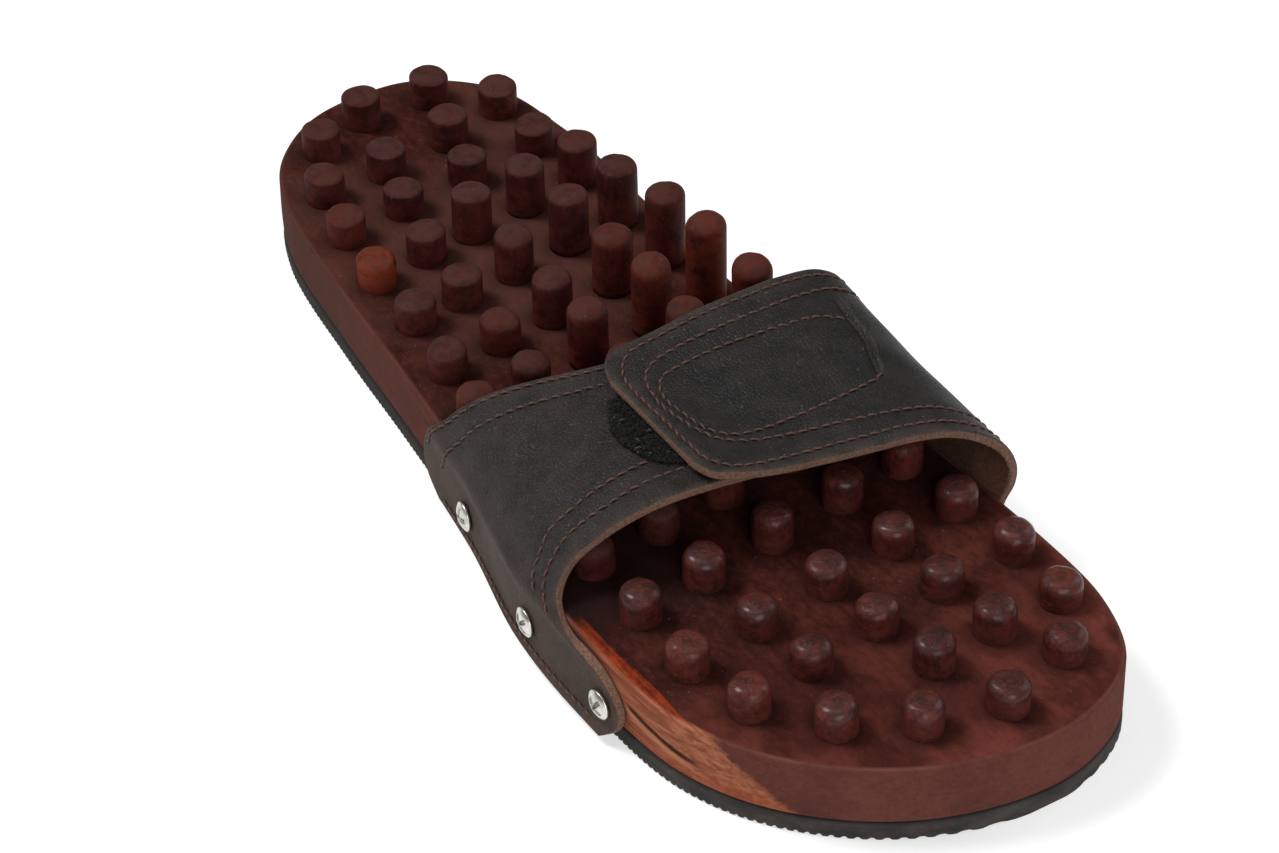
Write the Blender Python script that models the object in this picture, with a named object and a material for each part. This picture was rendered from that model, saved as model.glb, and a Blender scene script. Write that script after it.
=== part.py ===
"""Wooden massage slipper for the right foot.

A flat wooden board stands on a rubber sheet and carries rows of turned pegs, tallest along the arch.
Two leather straps are screwed to the board's sides. The inner one ends in a flap that closes over the
outer one on a hook-and-loop patch.

Sizes are millimetres in the shoe's own directions: across grows towards the outer (little toe) side,
along grows towards the toe, up is height over the floor. The toe points to -Y.
"""
from collections import namedtuple

import bpy
import numpy as np
from mathutils import Matrix, Vector

MM = 0.001

# Layers from the floor up
SEAT_GAP = 0.3
RUBBER_THICKNESS = 5.0
BOARD_TOP = 20.5
BOARD_EDGE_ROUND = 1.6
BOARD_FOOT_ROUND = 0.5
RUBBER_EDGE_ROUND = 0.8

# Board outline, a smooth closed curve from the back of the heel round the outer side: across, along
OUTLINE = (
    (-6.0, -140.0), (12.0, -137.0), (26.5, -125.5), (34.5, -108.0), (40.0, -70.0), (43.5, -34.0),
    (48.5, 9.0), (54.5, 40.0), (55.5, 68.0), (52.5, 98.5), (42.5, 118.5), (24.0, 135.5),
    (2.0, 144.5), (-20.0, 145.0), (-38.0, 135.5), (-46.0, 117.0), (-46.5, 80.0), (-42.5, 20.0),
    (-40.0, -35.0), (-40.0, -98.0), (-34.0, -124.0), (-19.5, -137.0),
)
OUTLINE_SPAN_STEPS = 4

# Pegs
PEG_RADIUS = 4.9
PEG_SIDES = 12
PEG_SEAT_DEPTH = 6.7
PEG_TOP_ROUND = 1.7
PEG_FLAT_SHARE = 0.7
JOINED_PEG_SINK = 2.0
ROW_BOW_SPAN = 30.0

# Peg rows from heel to toe: along at the middle, slant per across, bow at 30 mm, then (across, height)
PegRow = namedtuple("PegRow", ("along", "slant", "bow", "pegs"))
PEG_ROWS = (
    PegRow(-128.9, 0.157, 13.0, ((-17.4, 8.7), (1.5, 8.9), (16.4, 8.3))),
    PegRow(-106.4, 0.14, -3.5, ((-29.6, 8.5), (-12.3, 9.6), (7.3, 8.9), (24.8, 8.4))),
    PegRow(-91.6, 0.12, 0.0, ((-29.1, 8.0), (-8.2, 8.6), (11.2, 7.8), (28.4, 8.0))),
    PegRow(-73.0, 0.14, 0.0, ((-30.8, 13.0), (-14.4, 13.8), (2.1, 13.8), (16.0, 9.2), (30.9, 8.5))),
    PegRow(-53.6, 0.14, 0.0, ((-30.5, 17.8), (-15.2, 16.8), (1.7, 13.3), (17.5, 9.3), (31.3, 9.0))),
    PegRow(-34.1, 0.13, 0.0, ((-31.6, 21.3), (-15.3, 17.4), (2.9, 13.7), (18.4, 9.2), (34.0, 8.6))),
    PegRow(-15.8, 0.11, 0.0, ((-31.0, 25.2), (-14.6, 20.9), (4.2, 17.0), (21.2, 10.0), (36.6, 8.4))),
    PegRow(3.4, 0.11, 0.0, ((-31.6, 24.2), (-11.8, 21.5), (5.8, 17.2), (24.5, 9.0), (38.5, 7.6))),
    PegRow(22.8, 0.12, 0.0, ((-33.5, 21.5), (-12.5, 16.0), (6.0, 12.0), (25.0, 9.0), (40.0, 7.8))),
    PegRow(42.4, 0.12, 0.0, ((-33.5, 12.0), (-14.5, 10.0), (4.8, 9.5), (23.2, 9.0), (41.5, 8.4))),
    PegRow(61.2, 0.13, 0.0, ((-34.5, 9.5), (-16.6, 9.5), (3.9, 10.0), (23.7, 9.0), (41.5, 8.6))),
    PegRow(80.4, 0.14, 0.0, ((-36.2, 8.2), (-17.2, 8.3), (2.5, 8.2), (22.5, 8.0), (42.1, 8.8))),
    PegRow(97.6, 0.13, 1.0, ((-38.2, 8.4), (-18.0, 8.2), (0.8, 8.0), (19.8, 8.1), (38.0, 8.6))),
    PegRow(114.6, 0.12, 1.5, ((-37.5, 7.6), (-19.6, 9.0), (-2.6, 8.8), (25.8, 8.3))),
    PegRow(132.6, -0.219, -13.6, ((-27.9, 7.8), (-8.3, 8.0), (10.6, 8.4))),
)
# Rows from here to the toe are one solid with the board
FIRST_JOINED_ROW = 11

# Straps
STRAP_THICKNESS = 2.4
PATCH_THICKNESS = 1.2
STRAP_SPAN_STEPS = 2
STRAP_WIDTH_STEPS = 8

# Strap sections up from the hem: hug, then the rear and front edge as (across, along, up).
# Where hug is 1 the section lies on the board's side and its across is the distance off that side.
Section = namedtuple("Section", ("hug", "rear", "front"))
OUTER_STRAP = (
    Section(1.0, (0.5, -9.0, 3.2), (1.8, 77.0, 2.4)),
    Section(1.0, (0.0, -17.0, 6.5), (0.1, 81.5, 6.8)),
    Section(1.0, (0.0, -18.5, 11.5), (0.0, 82.0, 12.0)),
    Section(1.0, (0.0, -17.0, 16.5), (0.0, 77.0, 17.0)),
    Section(1.0, (0.1, -14.5, 20.8), (0.2, 64.0, 20.6)),
    Section(0.7, (46.2, -10.5, 25.0), (55.8, 54.5, 24.2)),
    Section(0.2, (43.2, -7.0, 30.0), (51.0, 52.0, 29.4)),
    Section(0.0, (37.4, -4.0, 33.4), (43.8, 53.0, 34.6)),
    Section(0.0, (29.7, 0.0, 36.1), (36.0, 55.0, 38.8)),
    Section(0.0, (22.0, 5.0, 38.7), (28.0, 56.5, 40.8)),
    Section(0.0, (14.0, 9.0, 40.6), (17.0, 57.5, 40.6)),
    Section(0.0, (3.0, 11.5, 41.8), (5.0, 58.0, 39.0)),
    Section(0.0, (-8.0, 12.5, 43.8), (-8.0, 60.0, 38.4)),
    Section(0.0, (-20.0, 13.5, 44.8), (-20.0, 62.0, 38.6)),
)
INNER_STRAP = (
    Section(1.0, (0.2, 1.0, 5.4), (0.6, 74.0, 4.8)),
    Section(1.0, (0.0, -0.5, 10.5), (0.0, 75.5, 11.0)),
    Section(1.0, (0.0, 2.0, 16.0), (0.5, 76.3, 17.0)),
    Section(0.8, (-45.0, 5.5, 22.0), (-51.6, 77.0, 22.0)),
    Section(0.4, (-46.2, 10.0, 29.5), (-51.8, 77.0, 27.5)),
    Section(0.0, (-46.6, 13.5, 37.5), (-49.2, 76.2, 33.4)),
    Section(0.0, (-45.0, 15.2, 44.2), (-43.0, 74.8, 38.8)),
    Section(0.0, (-39.5, 14.2, 48.0), (-36.0, 73.0, 41.8)),
    Section(0.0, (-29.5, 13.2, 49.3), (-27.0, 71.0, 43.0)),
    Section(0.0, (-20.0, 12.6, 49.1), (-19.0, 69.2, 42.9)),
    Section(0.0, (-8.0, 11.8, 48.2), (-8.0, 66.6, 42.8)),
    Section(0.0, (3.0, 11.0, 46.2), (5.0, 63.6, 43.4)),
    Section(0.0, (12.5, 10.8, 45.1), (14.0, 61.0, 44.8)),
    Section(0.0, (16.8, 13.0, 44.9), (17.4, 58.6, 45.0)),
    Section(0.0, (19.4, 19.5, 44.7), (19.4, 53.0, 45.0)),
)
# Loop patch on the outer strap, as shares of that strap's length and width
PATCH_LENGTH_SHARE = (0.705, 0.985)
PATCH_WIDTH_SHARE = (0.27, 0.82)
PATCH_LENGTH_STEPS = 8
PATCH_WIDTH_STEPS = 4
PATCH_CORNER_SHARE = 0.3

# Screws through the straps into the board's sides
SCREW_ALONG = {"lateral": (7.0, 45.0, 76.0), "medial": (5.0, 35.5, 69.0)}
SCREW_UP = 10.5
SCREW_HEAD_RADIUS = 3.6
SCREW_HEAD_HEIGHT = 1.7
SCREW_SHANK_RADIUS = 1.5
SCREW_DEPTH_IN_BOARD = 8.0
SCREW_SIDES = 10

# How far a cutting tool stands out of the face it cuts
CUT_OVERSHOOT = 2.0

# Colours and finish of each material: base colour, roughness, metallic
MATERIALS = {
    "rubber": ((0.045, 0.045, 0.045), 0.8, 0.0),
    "wood": ((0.17, 0.055, 0.035), 0.42, 0.0),
    "leather": ((0.05, 0.048, 0.046), 0.55, 0.0),
    "loop_fabric": ((0.012, 0.012, 0.013), 0.95, 0.0),
    "nickel": ((0.72, 0.7, 0.66), 0.25, 1.0),
}


def shoe_points(points):
    """Turn (across, along, up) millimetres into the part's metres, with the toe to -Y."""
    points = np.asarray(points, dtype=float)
    return points * (-MM, -MM, MM)


def smooth_path(points, steps, closed):
    """Centripetal Catmull-Rom curve through the points, with so many steps a span."""
    points = np.asarray(points, dtype=float)
    if closed:
        ring = np.vstack((points[-1:], points, points[:2]))
    else:
        ring = np.vstack((2 * points[:1] - points[1:2], points, 2 * points[-1:] - points[-2:-1]))
    samples = []
    for start in range(len(ring) - 3):
        samples.append(path_span(ring[start:start + 4], steps))
    if not closed:
        samples.append(points[-1:])
    return np.vstack(samples)


def path_span(corners, steps):
    """One span of the curve, from the second of four corners towards the third."""
    lengths = np.sqrt(np.linalg.norm(np.diff(corners, axis=0), axis=1))
    knots = np.concatenate(([0.0], np.cumsum(lengths)))
    time = np.linspace(knots[1], knots[2], steps, endpoint=False)[:, None]

    def blend(first, second, start, end):
        return ((knots[end] - time) * first + (time - knots[start]) * second) / (knots[end] - knots[start])

    lines = [blend(corners[k], corners[k + 1], k, k + 1) for k in range(3)]
    arcs = [blend(lines[k], lines[k + 1], k, k + 2) for k in range(2)]
    return blend(*arcs, 1, 2)


BOARD_OUTLINE = smooth_path(OUTLINE, OUTLINE_SPAN_STEPS, closed=True)


def board_side(along, side):
    """Across of the board's side at a place along the shoe; side is 1 outside and -1 inside."""
    toe = int(np.argmax(BOARD_OUTLINE[:, 1]))
    half = BOARD_OUTLINE[:toe + 1] if side > 0 else BOARD_OUTLINE[toe:][::-1]
    order = np.argsort(half[:, 1])
    return np.interp(along, half[order, 1], half[order, 0])


def inset(outline, distance):
    """Move a closed outline inwards along its normals."""
    tangent = np.roll(outline, -1, axis=0) - np.roll(outline, 1, axis=0)
    normal = np.stack((tangent[:, 1], -tangent[:, 0]), axis=1)
    return outline - distance * normal / np.linalg.norm(normal, axis=1)[:, None]


def material(name):
    """Principled material of the given name, made once."""
    if name in bpy.data.materials:
        return bpy.data.materials[name]
    colour, roughness, metallic = MATERIALS[name]
    made = bpy.data.materials.new(name)
    made.use_nodes = True
    shader = made.node_tree.nodes["Principled BSDF"]
    shader.inputs["Base Color"].default_value = (*colour, 1.0)
    shader.inputs["Roughness"].default_value = roughness
    shader.inputs["Metallic"].default_value = metallic
    made.diffuse_color = (*colour, 1.0)
    return made


def add_object(name, vertices, faces, material_name):
    """Named mesh object in the scene, shaded smooth except at its sharp edges."""
    mesh = bpy.data.meshes.new(name)
    mesh.from_pydata([tuple(v) for v in vertices], [], faces)
    mesh.materials.append(material(material_name))
    mesh.shade_smooth()
    mesh.set_sharp_from_angle(angle=np.radians(40.0))
    made = bpy.data.objects.new(name, mesh)
    bpy.context.scene.collection.objects.link(made)
    return made


def stacked_rings(rings):
    """Vertices and faces of a closed solid from rings of equal count, bottom to top."""
    count = len(rings[0])
    vertices = np.vstack(rings)
    faces = [tuple(range(count))[::-1]]
    for level in range(len(rings) - 1):
        base = level * count
        for k in range(count):
            after = (k + 1) % count
            faces.append((base + k, base + after, base + count + after, base + count + k))
    faces.append(tuple(range((len(rings) - 1) * count, len(rings) * count)))
    return vertices, faces


def turned(profile, sides):
    """Solid of revolution about Z from (radius, height) pairs in metres, bottom to top."""
    angle = np.arange(sides) * 2.0 * np.pi / sides
    circle = np.stack((np.cos(angle), np.sin(angle), np.zeros(sides)), axis=1)
    return stacked_rings([circle * radius + (0.0, 0.0, height) for radius, height in profile])


def joined(solids):
    """One vertex and face list from several (vertices, faces) solids."""
    vertices, faces, base = [], [], 0
    for solid_vertices, solid_faces in solids:
        vertices.append(solid_vertices)
        faces += [tuple(base + k for k in face) for face in solid_faces]
        base += len(solid_vertices)
    return np.vstack(vertices), faces


def cutter(name, solids):
    """Hidden tool body for a Boolean."""
    vertices, faces = joined(solids)
    made = add_object(name, vertices, faces, "wood")
    made.hide_render = True
    made.display_type = "WIRE"
    return made


def add_boolean(target, tool, operation):
    """Live Boolean of the tool on the target."""
    modifier = target.modifiers.new(tool.name, "BOOLEAN")
    modifier.operation = operation
    modifier.solver = "EXACT"
    modifier.object = tool


def slab(name, levels, material_name):
    """Layer of the sole: the board's outline, inset by so much at each (inset, up) level."""
    rings = []
    for distance, up in levels:
        ring = inset(BOARD_OUTLINE, distance)
        rings.append(shoe_points(np.column_stack((ring, np.full(len(ring), up)))))
    return add_object(name, *stacked_rings(rings), material_name)


def peg_places():
    """Each peg's row and column number, with its across, along and height."""
    for number, row in enumerate(PEG_ROWS, start=1):
        for column, (across, height) in enumerate(row.pegs, start=1):
            along = row.along + row.slant * across + row.bow * (across / ROW_BOW_SPAN) ** 2
            yield number, column, across, along, height


def peg_profile(foot, height):
    """Turned peg from its foot under the board's top to its softly crowned end."""
    shoulder = height - PEG_TOP_ROUND
    return [
        (PEG_RADIUS * MM, foot * MM),
        (PEG_RADIUS * MM, shoulder * MM),
        (PEG_RADIUS * PEG_FLAT_SHARE * MM, height * MM),
    ]


def placed(solid, across, along, up):
    """Move a solid's vertices to a place on the shoe."""
    vertices, faces = solid
    return vertices + shoe_points((across, along, up)), faces


def make_footbed():
    """Board with its peg holes, screw holes and joined toe pegs, and the pegs in their holes."""
    board = slab("footbed", (
        (BOARD_FOOT_ROUND, RUBBER_THICKNESS + SEAT_GAP),
        (0.0, RUBBER_THICKNESS + SEAT_GAP + BOARD_FOOT_ROUND),
        (0.0, BOARD_TOP - BOARD_EDGE_ROUND),
        (0.3 * BOARD_EDGE_ROUND, BOARD_TOP - 0.3 * BOARD_EDGE_ROUND),
        (BOARD_EDGE_ROUND, BOARD_TOP),
    ), "wood")
    hole_profile = [
        ((PEG_RADIUS + SEAT_GAP) * MM, -(PEG_SEAT_DEPTH + SEAT_GAP) * MM),
        ((PEG_RADIUS + SEAT_GAP) * MM, CUT_OVERSHOOT * MM),
    ]
    holes, toe_pegs = [], []
    for row, column, across, along, height in peg_places():
        if row < FIRST_JOINED_ROW:
            holes.append(placed(turned(hole_profile, PEG_SIDES), across, along, BOARD_TOP))
            peg = placed(turned(peg_profile(-PEG_SEAT_DEPTH, height), PEG_SIDES), across, along, BOARD_TOP)
            add_object(f"peg_{row:02d}_{column}", *peg, "wood")
        else:
            peg = turned(peg_profile(-JOINED_PEG_SINK, height), PEG_SIDES)
            toe_pegs.append(placed(peg, across, along, BOARD_TOP))
    add_boolean(board, cutter("peg_holes", holes), "DIFFERENCE")
    add_boolean(board, cutter("toe_pegs", toe_pegs), "UNION")
    return board


def strap_surface(sections, side, steps):
    """Outer face of a strap as a grid: rows from hem to end, columns from rear to front edge."""
    wall_offset = SEAT_GAP + STRAP_THICKNESS
    rear, front = [], []
    for section in sections:
        for edge, (across, along, up) in ((rear, section.rear), (front, section.front)):
            if section.hug == 1.0:
                across = board_side(along, side) + side * (wall_offset + across)
            edge.append((across, along, up))
    rear_path = smooth_path(rear, steps, closed=False)
    front_path = smooth_path(front, steps, closed=False)
    station = np.arange(len(sections))
    hug = [section.hug for section in sections]
    hug_path = np.interp(np.linspace(0, station[-1], len(rear_path)), station, hug)
    width = np.linspace(0.0, 1.0, STRAP_WIDTH_STEPS + 1)[None, :, None]
    grid = rear_path[:, None] * (1 - width) + front_path[:, None] * width
    # A straight line from edge to edge would cut the board's curved side, so hugging rows follow it
    chord = board_side(rear_path[:, 1:2], side) * (1 - width[..., 0])
    chord = chord + board_side(front_path[:, 1:2], side) * width[..., 0]
    grid[..., 0] += hug_path[:, None] * (board_side(grid[..., 1], side) - chord)
    return grid


def face_normals(grid, side):
    """Unit normals of a grid, pointing away from the foot."""
    normal = np.cross(np.gradient(grid, axis=1), np.gradient(grid, axis=0)) * side
    return normal / np.linalg.norm(normal, axis=-1, keepdims=True)


def sheet_solid(outer, inner, side):
    """Closed sheet between two grids of equal shape."""
    rows, columns = outer.shape[:2]
    index = np.arange(rows * columns).reshape(rows, columns)
    under = index + rows * columns
    faces = []
    for r in range(rows - 1):
        for k in range(columns - 1):
            quad = (index[r, k], index[r + 1, k], index[r + 1, k + 1], index[r, k + 1])
            low = (under[r, k], under[r, k + 1], under[r + 1, k + 1], under[r + 1, k])
            faces += [quad, low]
    border = list(index[:, 0]) + list(index[-1, 1:]) + list(index[-2::-1, -1]) + list(index[0, -2:0:-1])
    for k, start in enumerate(border):
        after = border[(k + 1) % len(border)]
        shift = rows * columns
        faces.append((start, start + shift, after + shift, after))
    if side > 0:
        faces = [face[::-1] for face in faces]
    vertices = shoe_points(np.vstack((outer.reshape(-1, 3), inner.reshape(-1, 3))))
    return vertices, [tuple(int(k) for k in face) for face in faces]


def make_strap(name, sections, side):
    """Leather strap of even thickness under its outer face."""
    outer = strap_surface(sections, side, STRAP_SPAN_STEPS)
    inner = outer - STRAP_THICKNESS * face_normals(outer, side)
    return add_object(name, *sheet_solid(outer, inner, side), "leather")


def make_loop_patch():
    """Loop patch, cut from the outer strap's own face, with a rounded end beyond the flap."""
    grid = strap_surface(OUTER_STRAP, 1, STRAP_SPAN_STEPS)
    normal = face_normals(grid, 1)
    near, far = PATCH_LENGTH_SHARE
    low, high = PATCH_WIDTH_SHARE
    lengths = np.linspace(near, far, PATCH_LENGTH_STEPS + 1) * (len(grid) - 1)
    middle = (low + high) / 2
    base = np.empty((PATCH_LENGTH_STEPS + 1, PATCH_WIDTH_STEPS + 1, 3))
    lift = np.empty_like(base)
    for row, length in enumerate(lengths):
        # The first rows draw in to round off the visible end
        reach = 1.0 - PATCH_CORNER_SHARE * max(0.0, 1.0 - row / 1.5) ** 2
        widths = (middle + (np.linspace(low, high, PATCH_WIDTH_STEPS + 1) - middle) * reach)
        for column, share in enumerate(widths * (grid.shape[1] - 1)):
            base[row, column] = grid_value(grid, length, share)
            lift[row, column] = grid_value(normal, length, share)
    inner = base + SEAT_GAP * lift
    outer = base + (SEAT_GAP + PATCH_THICKNESS) * lift
    return add_object("loop_patch", *sheet_solid(outer, inner, 1), "loop_fabric")


def grid_value(grid, row, column):
    """Value between the points of a grid."""
    r = min(int(row), grid.shape[0] - 2)
    k = min(int(column), grid.shape[1] - 2)
    down, right = row - r, column - k
    near = grid[r, k] * (1 - right) + grid[r, k + 1] * right
    far = grid[r + 1, k] * (1 - right) + grid[r + 1, k + 1] * right
    return near * (1 - down) + far * down


def screw_frame(along, side):
    """Matrix that stands a turned solid's axis on the board's side, pointing out."""
    step = 1.0
    slope = (board_side(along + step, side) - board_side(along - step, side)) / (2 * step)
    outwards = Vector(shoe_points((side, -side * slope, 0.0))).normalized()
    turn = outwards.to_track_quat("Z", "Y").to_matrix().to_4x4()
    place = shoe_points((board_side(along, side), along, SCREW_UP))
    return Matrix.Translation(place) @ turn


def posed(profile, frame):
    """Turned solid of a profile in millimetres, stood in a frame."""
    vertices, faces = turned([(radius * MM, height * MM) for radius, height in profile], SCREW_SIDES)
    return vertices @ frame[:3, :3].T + frame[:3, 3], faces


def make_screws(board, straps):
    """Round-headed screws with their clearance holes through straps and board."""
    head_seat = STRAP_THICKNESS + 2 * SEAT_GAP
    profile = [
        (SCREW_SHANK_RADIUS, -SCREW_DEPTH_IN_BOARD),
        (SCREW_SHANK_RADIUS, head_seat),
        (SCREW_HEAD_RADIUS, head_seat),
        (SCREW_HEAD_RADIUS, head_seat + 0.35 * SCREW_HEAD_HEIGHT),
        (0.8 * SCREW_HEAD_RADIUS, head_seat + 0.8 * SCREW_HEAD_HEIGHT),
        (0.45 * SCREW_HEAD_RADIUS, head_seat + SCREW_HEAD_HEIGHT),
    ]
    hole_profile = [
        (SCREW_SHANK_RADIUS + SEAT_GAP, -(SCREW_DEPTH_IN_BOARD + SEAT_GAP)),
        (SCREW_SHANK_RADIUS + SEAT_GAP, head_seat + CUT_OVERSHOOT),
    ]
    holes = []
    for side_name, side in (("lateral", 1), ("medial", -1)):
        for number, along in enumerate(SCREW_ALONG[side_name], start=1):
            frame = np.array(screw_frame(along, side))
            add_object(f"screw_{side_name}_{number}", *posed(profile, frame), "nickel")
            holes.append(posed(hole_profile, frame))
    tool = cutter("screw_holes", holes)
    for target in (board, *straps):
        add_boolean(target, tool, "DIFFERENCE")


def centre_on_origin():
    """Put the middle of the slipper's box over the origin, standing on the floor."""
    solids = [made for made in bpy.data.objects if not made.hide_render]
    points = np.vstack([np.array([v.co for v in made.data.vertices]) for made in solids])
    middle = (points.min(axis=0) + points.max(axis=0)) / 2
    for made in bpy.data.objects:
        made.location = (-middle[0], -middle[1], 0.0)


def main():
    for old in list(bpy.data.objects):
        bpy.data.objects.remove(old, do_unlink=True)
    slab("outsole", (
        (RUBBER_EDGE_ROUND, 0.0),
        (0.0, RUBBER_EDGE_ROUND),
        (0.0, RUBBER_THICKNESS),
    ), "rubber")
    board = make_footbed()
    straps = [
        make_strap("strap_lateral", OUTER_STRAP, 1),
        make_strap("strap_medial", INNER_STRAP, -1),
    ]
    make_loop_patch()
    make_screws(board, straps)
    centre_on_origin()


main()
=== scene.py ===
"""Dresses the wooden massage slipper: lacquered board and pegs, leather straps with their stitching,
loop patch, screws and ribbed rubber, on a pale floor.

Sizes are millimetres in the shoe's own directions, as in the part: across grows towards the outer side,
along towards the toe, up over the floor.
"""
from collections import namedtuple
from functools import partialmethod

import bpy
import numpy as np
from mathutils import Matrix, Vector


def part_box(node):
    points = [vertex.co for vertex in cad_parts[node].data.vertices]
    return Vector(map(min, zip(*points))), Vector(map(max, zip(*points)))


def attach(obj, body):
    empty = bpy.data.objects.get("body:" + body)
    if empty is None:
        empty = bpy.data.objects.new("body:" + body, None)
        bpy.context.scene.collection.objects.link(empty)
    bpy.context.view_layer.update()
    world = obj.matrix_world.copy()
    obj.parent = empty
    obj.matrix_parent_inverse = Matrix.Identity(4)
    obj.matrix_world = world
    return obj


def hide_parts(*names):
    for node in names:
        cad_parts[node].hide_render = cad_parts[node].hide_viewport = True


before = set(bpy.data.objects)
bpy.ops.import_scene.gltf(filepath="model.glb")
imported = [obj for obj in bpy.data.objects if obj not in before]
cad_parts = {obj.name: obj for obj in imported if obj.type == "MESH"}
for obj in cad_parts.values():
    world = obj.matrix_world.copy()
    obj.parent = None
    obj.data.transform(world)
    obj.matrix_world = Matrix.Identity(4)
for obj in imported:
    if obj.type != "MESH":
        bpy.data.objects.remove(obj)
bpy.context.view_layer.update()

MM = 0.001

# Layers from the floor up
RUBBER_TOP = 5
BOARD_FOOT = 5.3
BOARD_TOP = 20.5

# Board outline from the back of the heel round the outer side: across, along
OUTLINE = (
    (-6, -140), (12, -137), (26.5, -125.5), (34.5, -108), (40, -70), (43.5, -34),
    (48.5, 9), (54.5, 40), (55.5, 68), (52.5, 98.5), (42.5, 118.5), (24, 135.5),
    (2, 144.5), (-20, 145), (-38, 135.5), (-46, 117), (-46.5, 80), (-42.5, 20),
    (-40, -35), (-40, -98), (-34, -124), (-19.5, -137),
)

# Peg rows from heel to toe: along at the middle, slant per across, bow at 30 mm, then (across, height)
PegRow = namedtuple("PegRow", ("along", "slant", "bow", "pegs"))
PEG_ROWS = [PegRow(*row) for row in (
    (-128.9, 0.157, 13, ((-17.4, 8.7), (1.5, 8.9), (16.4, 8.3))),
    (-106.4, 0.14, -3.5, ((-29.6, 8.5), (-12.3, 9.6), (7.3, 8.9), (24.8, 8.4))),
    (-91.6, 0.12, 0, ((-29.1, 8), (-8.2, 8.6), (11.2, 7.8), (28.4, 8))),
    (-73, 0.14, 0, ((-30.8, 13), (-14.4, 13.8), (2.1, 13.8), (16, 9.2), (30.9, 8.5))),
    (-53.6, 0.14, 0, ((-30.5, 17.8), (-15.2, 16.8), (1.7, 13.3), (17.5, 9.3), (31.3, 9))),
    (-34.1, 0.13, 0, ((-31.6, 21.3), (-15.3, 17.4), (2.9, 13.7), (18.4, 9.2), (34, 8.6))),
    (-15.8, 0.11, 0, ((-31, 25.2), (-14.6, 20.9), (4.2, 17), (21.2, 10), (36.6, 8.4))),
    (3.4, 0.11, 0, ((-31.6, 24.2), (-11.8, 21.5), (5.8, 17.2), (24.5, 9), (38.5, 7.6))),
    (22.8, 0.12, 0, ((-33.5, 21.5), (-12.5, 16), (6, 12), (25, 9), (40, 7.8))),
    (42.4, 0.12, 0, ((-33.5, 12), (-14.5, 10), (4.8, 9.5), (23.2, 9), (41.5, 8.4))),
    (61.2, 0.13, 0, ((-34.5, 9.5), (-16.6, 9.5), (3.9, 10), (23.7, 9), (41.5, 8.6))),
    (80.4, 0.14, 0, ((-36.2, 8.2), (-17.2, 8.3), (2.5, 8.2), (22.5, 8), (42.1, 8.8))),
    (97.6, 0.13, 1, ((-38.2, 8.4), (-18, 8.2), (0.8, 8), (19.8, 8.1), (38, 8.6))),
    (114.6, 0.12, 1.5, ((-37.5, 7.6), (-19.6, 9), (-2.6, 8.8), (25.8, 8.3))),
    (132.6, -0.219, -13.6, ((-27.9, 7.8), (-8.3, 8), (10.6, 8.4))),
)]
FIRST_JOINED_ROW = 11
ROW_BOW_SPAN = 30
PEG_RADIUS = 4.9

# Strap sections up from the hem: hug, then the rear and front edge as (across, along, up).
# Where hug is 1 the section lies on the board's side and its across is the distance off that side.
Section = namedtuple("Section", ("hug", "rear", "front"))
OUTER_STRAP = [Section(*row) for row in (
    (1, (0.5, -9, 3.2), (1.8, 77, 2.4)),
    (1, (0, -17, 6.5), (0.1, 81.5, 6.8)),
    (1, (0, -18.5, 11.5), (0, 82, 12)),
    (1, (0, -17, 16.5), (0, 77, 17)),
    (1, (0.1, -14.5, 20.8), (0.2, 64, 20.6)),
    (0.7, (46.2, -10.5, 25), (55.8, 54.5, 24.2)),
    (0.2, (43.2, -7, 30), (51, 52, 29.4)),
    (0, (37.4, -4, 33.4), (43.8, 53, 34.6)),
    (0, (29.7, 0, 36.1), (36, 55, 38.8)),
    (0, (22, 5, 38.7), (28, 56.5, 40.8)),
    (0, (14, 9, 40.6), (17, 57.5, 40.6)),
    (0, (3, 11.5, 41.8), (5, 58, 39)),
    (0, (-8, 12.5, 43.8), (-8, 60, 38.4)),
    (0, (-20, 13.5, 44.8), (-20, 62, 38.6)),
)]
INNER_STRAP = [Section(*row) for row in (
    (1, (0.2, 1, 5.4), (0.6, 74, 4.8)),
    (1, (0, -0.5, 10.5), (0, 75.5, 11)),
    (1, (0, 2, 16), (0.5, 76.3, 17)),
    (0.8, (-45, 5.5, 22), (-51.6, 77, 22)),
    (0.4, (-46.2, 10, 29.5), (-51.8, 77, 27.5)),
    (0, (-46.6, 13.5, 37.5), (-49.2, 76.2, 33.4)),
    (0, (-45, 15.2, 44.2), (-43, 74.8, 38.8)),
    (0, (-39.5, 14.2, 48), (-36, 73, 41.8)),
    (0, (-29.5, 13.2, 49.3), (-27, 71, 43)),
    (0, (-20, 12.6, 49.1), (-19, 69.2, 42.9)),
    (0, (-8, 11.8, 48.2), (-8, 66.6, 42.8)),
    (0, (3, 11, 46.2), (5, 63.6, 43.4)),
    (0, (12.5, 10.8, 45.1), (14, 61, 44.8)),
    (0, (16.8, 13, 44.9), (17.4, 58.6, 45)),
    (0, (19.4, 19.5, 44.7), (19.4, 53, 45)),
)]
STRAP_THICKNESS = 2.4
STRAP_SEAT = 0.3

# Screws
SCREW_ALONG = {"lateral": (7, 45, 76), "medial": (5, 35.5, 69)}
SCREW_UP = 10.5
SCREW_HEAD_RADIUS = 3.6
SCREW_HEAD_HEIGHT = 1.7
SCREW_SHANK_RADIUS = 1.5
SCREW_DEPTH = 8

# Camera, found from the photograph: across, along, up
CAMERA_PLACE = (389, 639, 629)
CAMERA_AIM = (2, 3, 12)
CAMERA_ROLL = -1.4
CAMERA_LENS = 117
CAMERA_SENSOR = 36


# Curves and places

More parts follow.
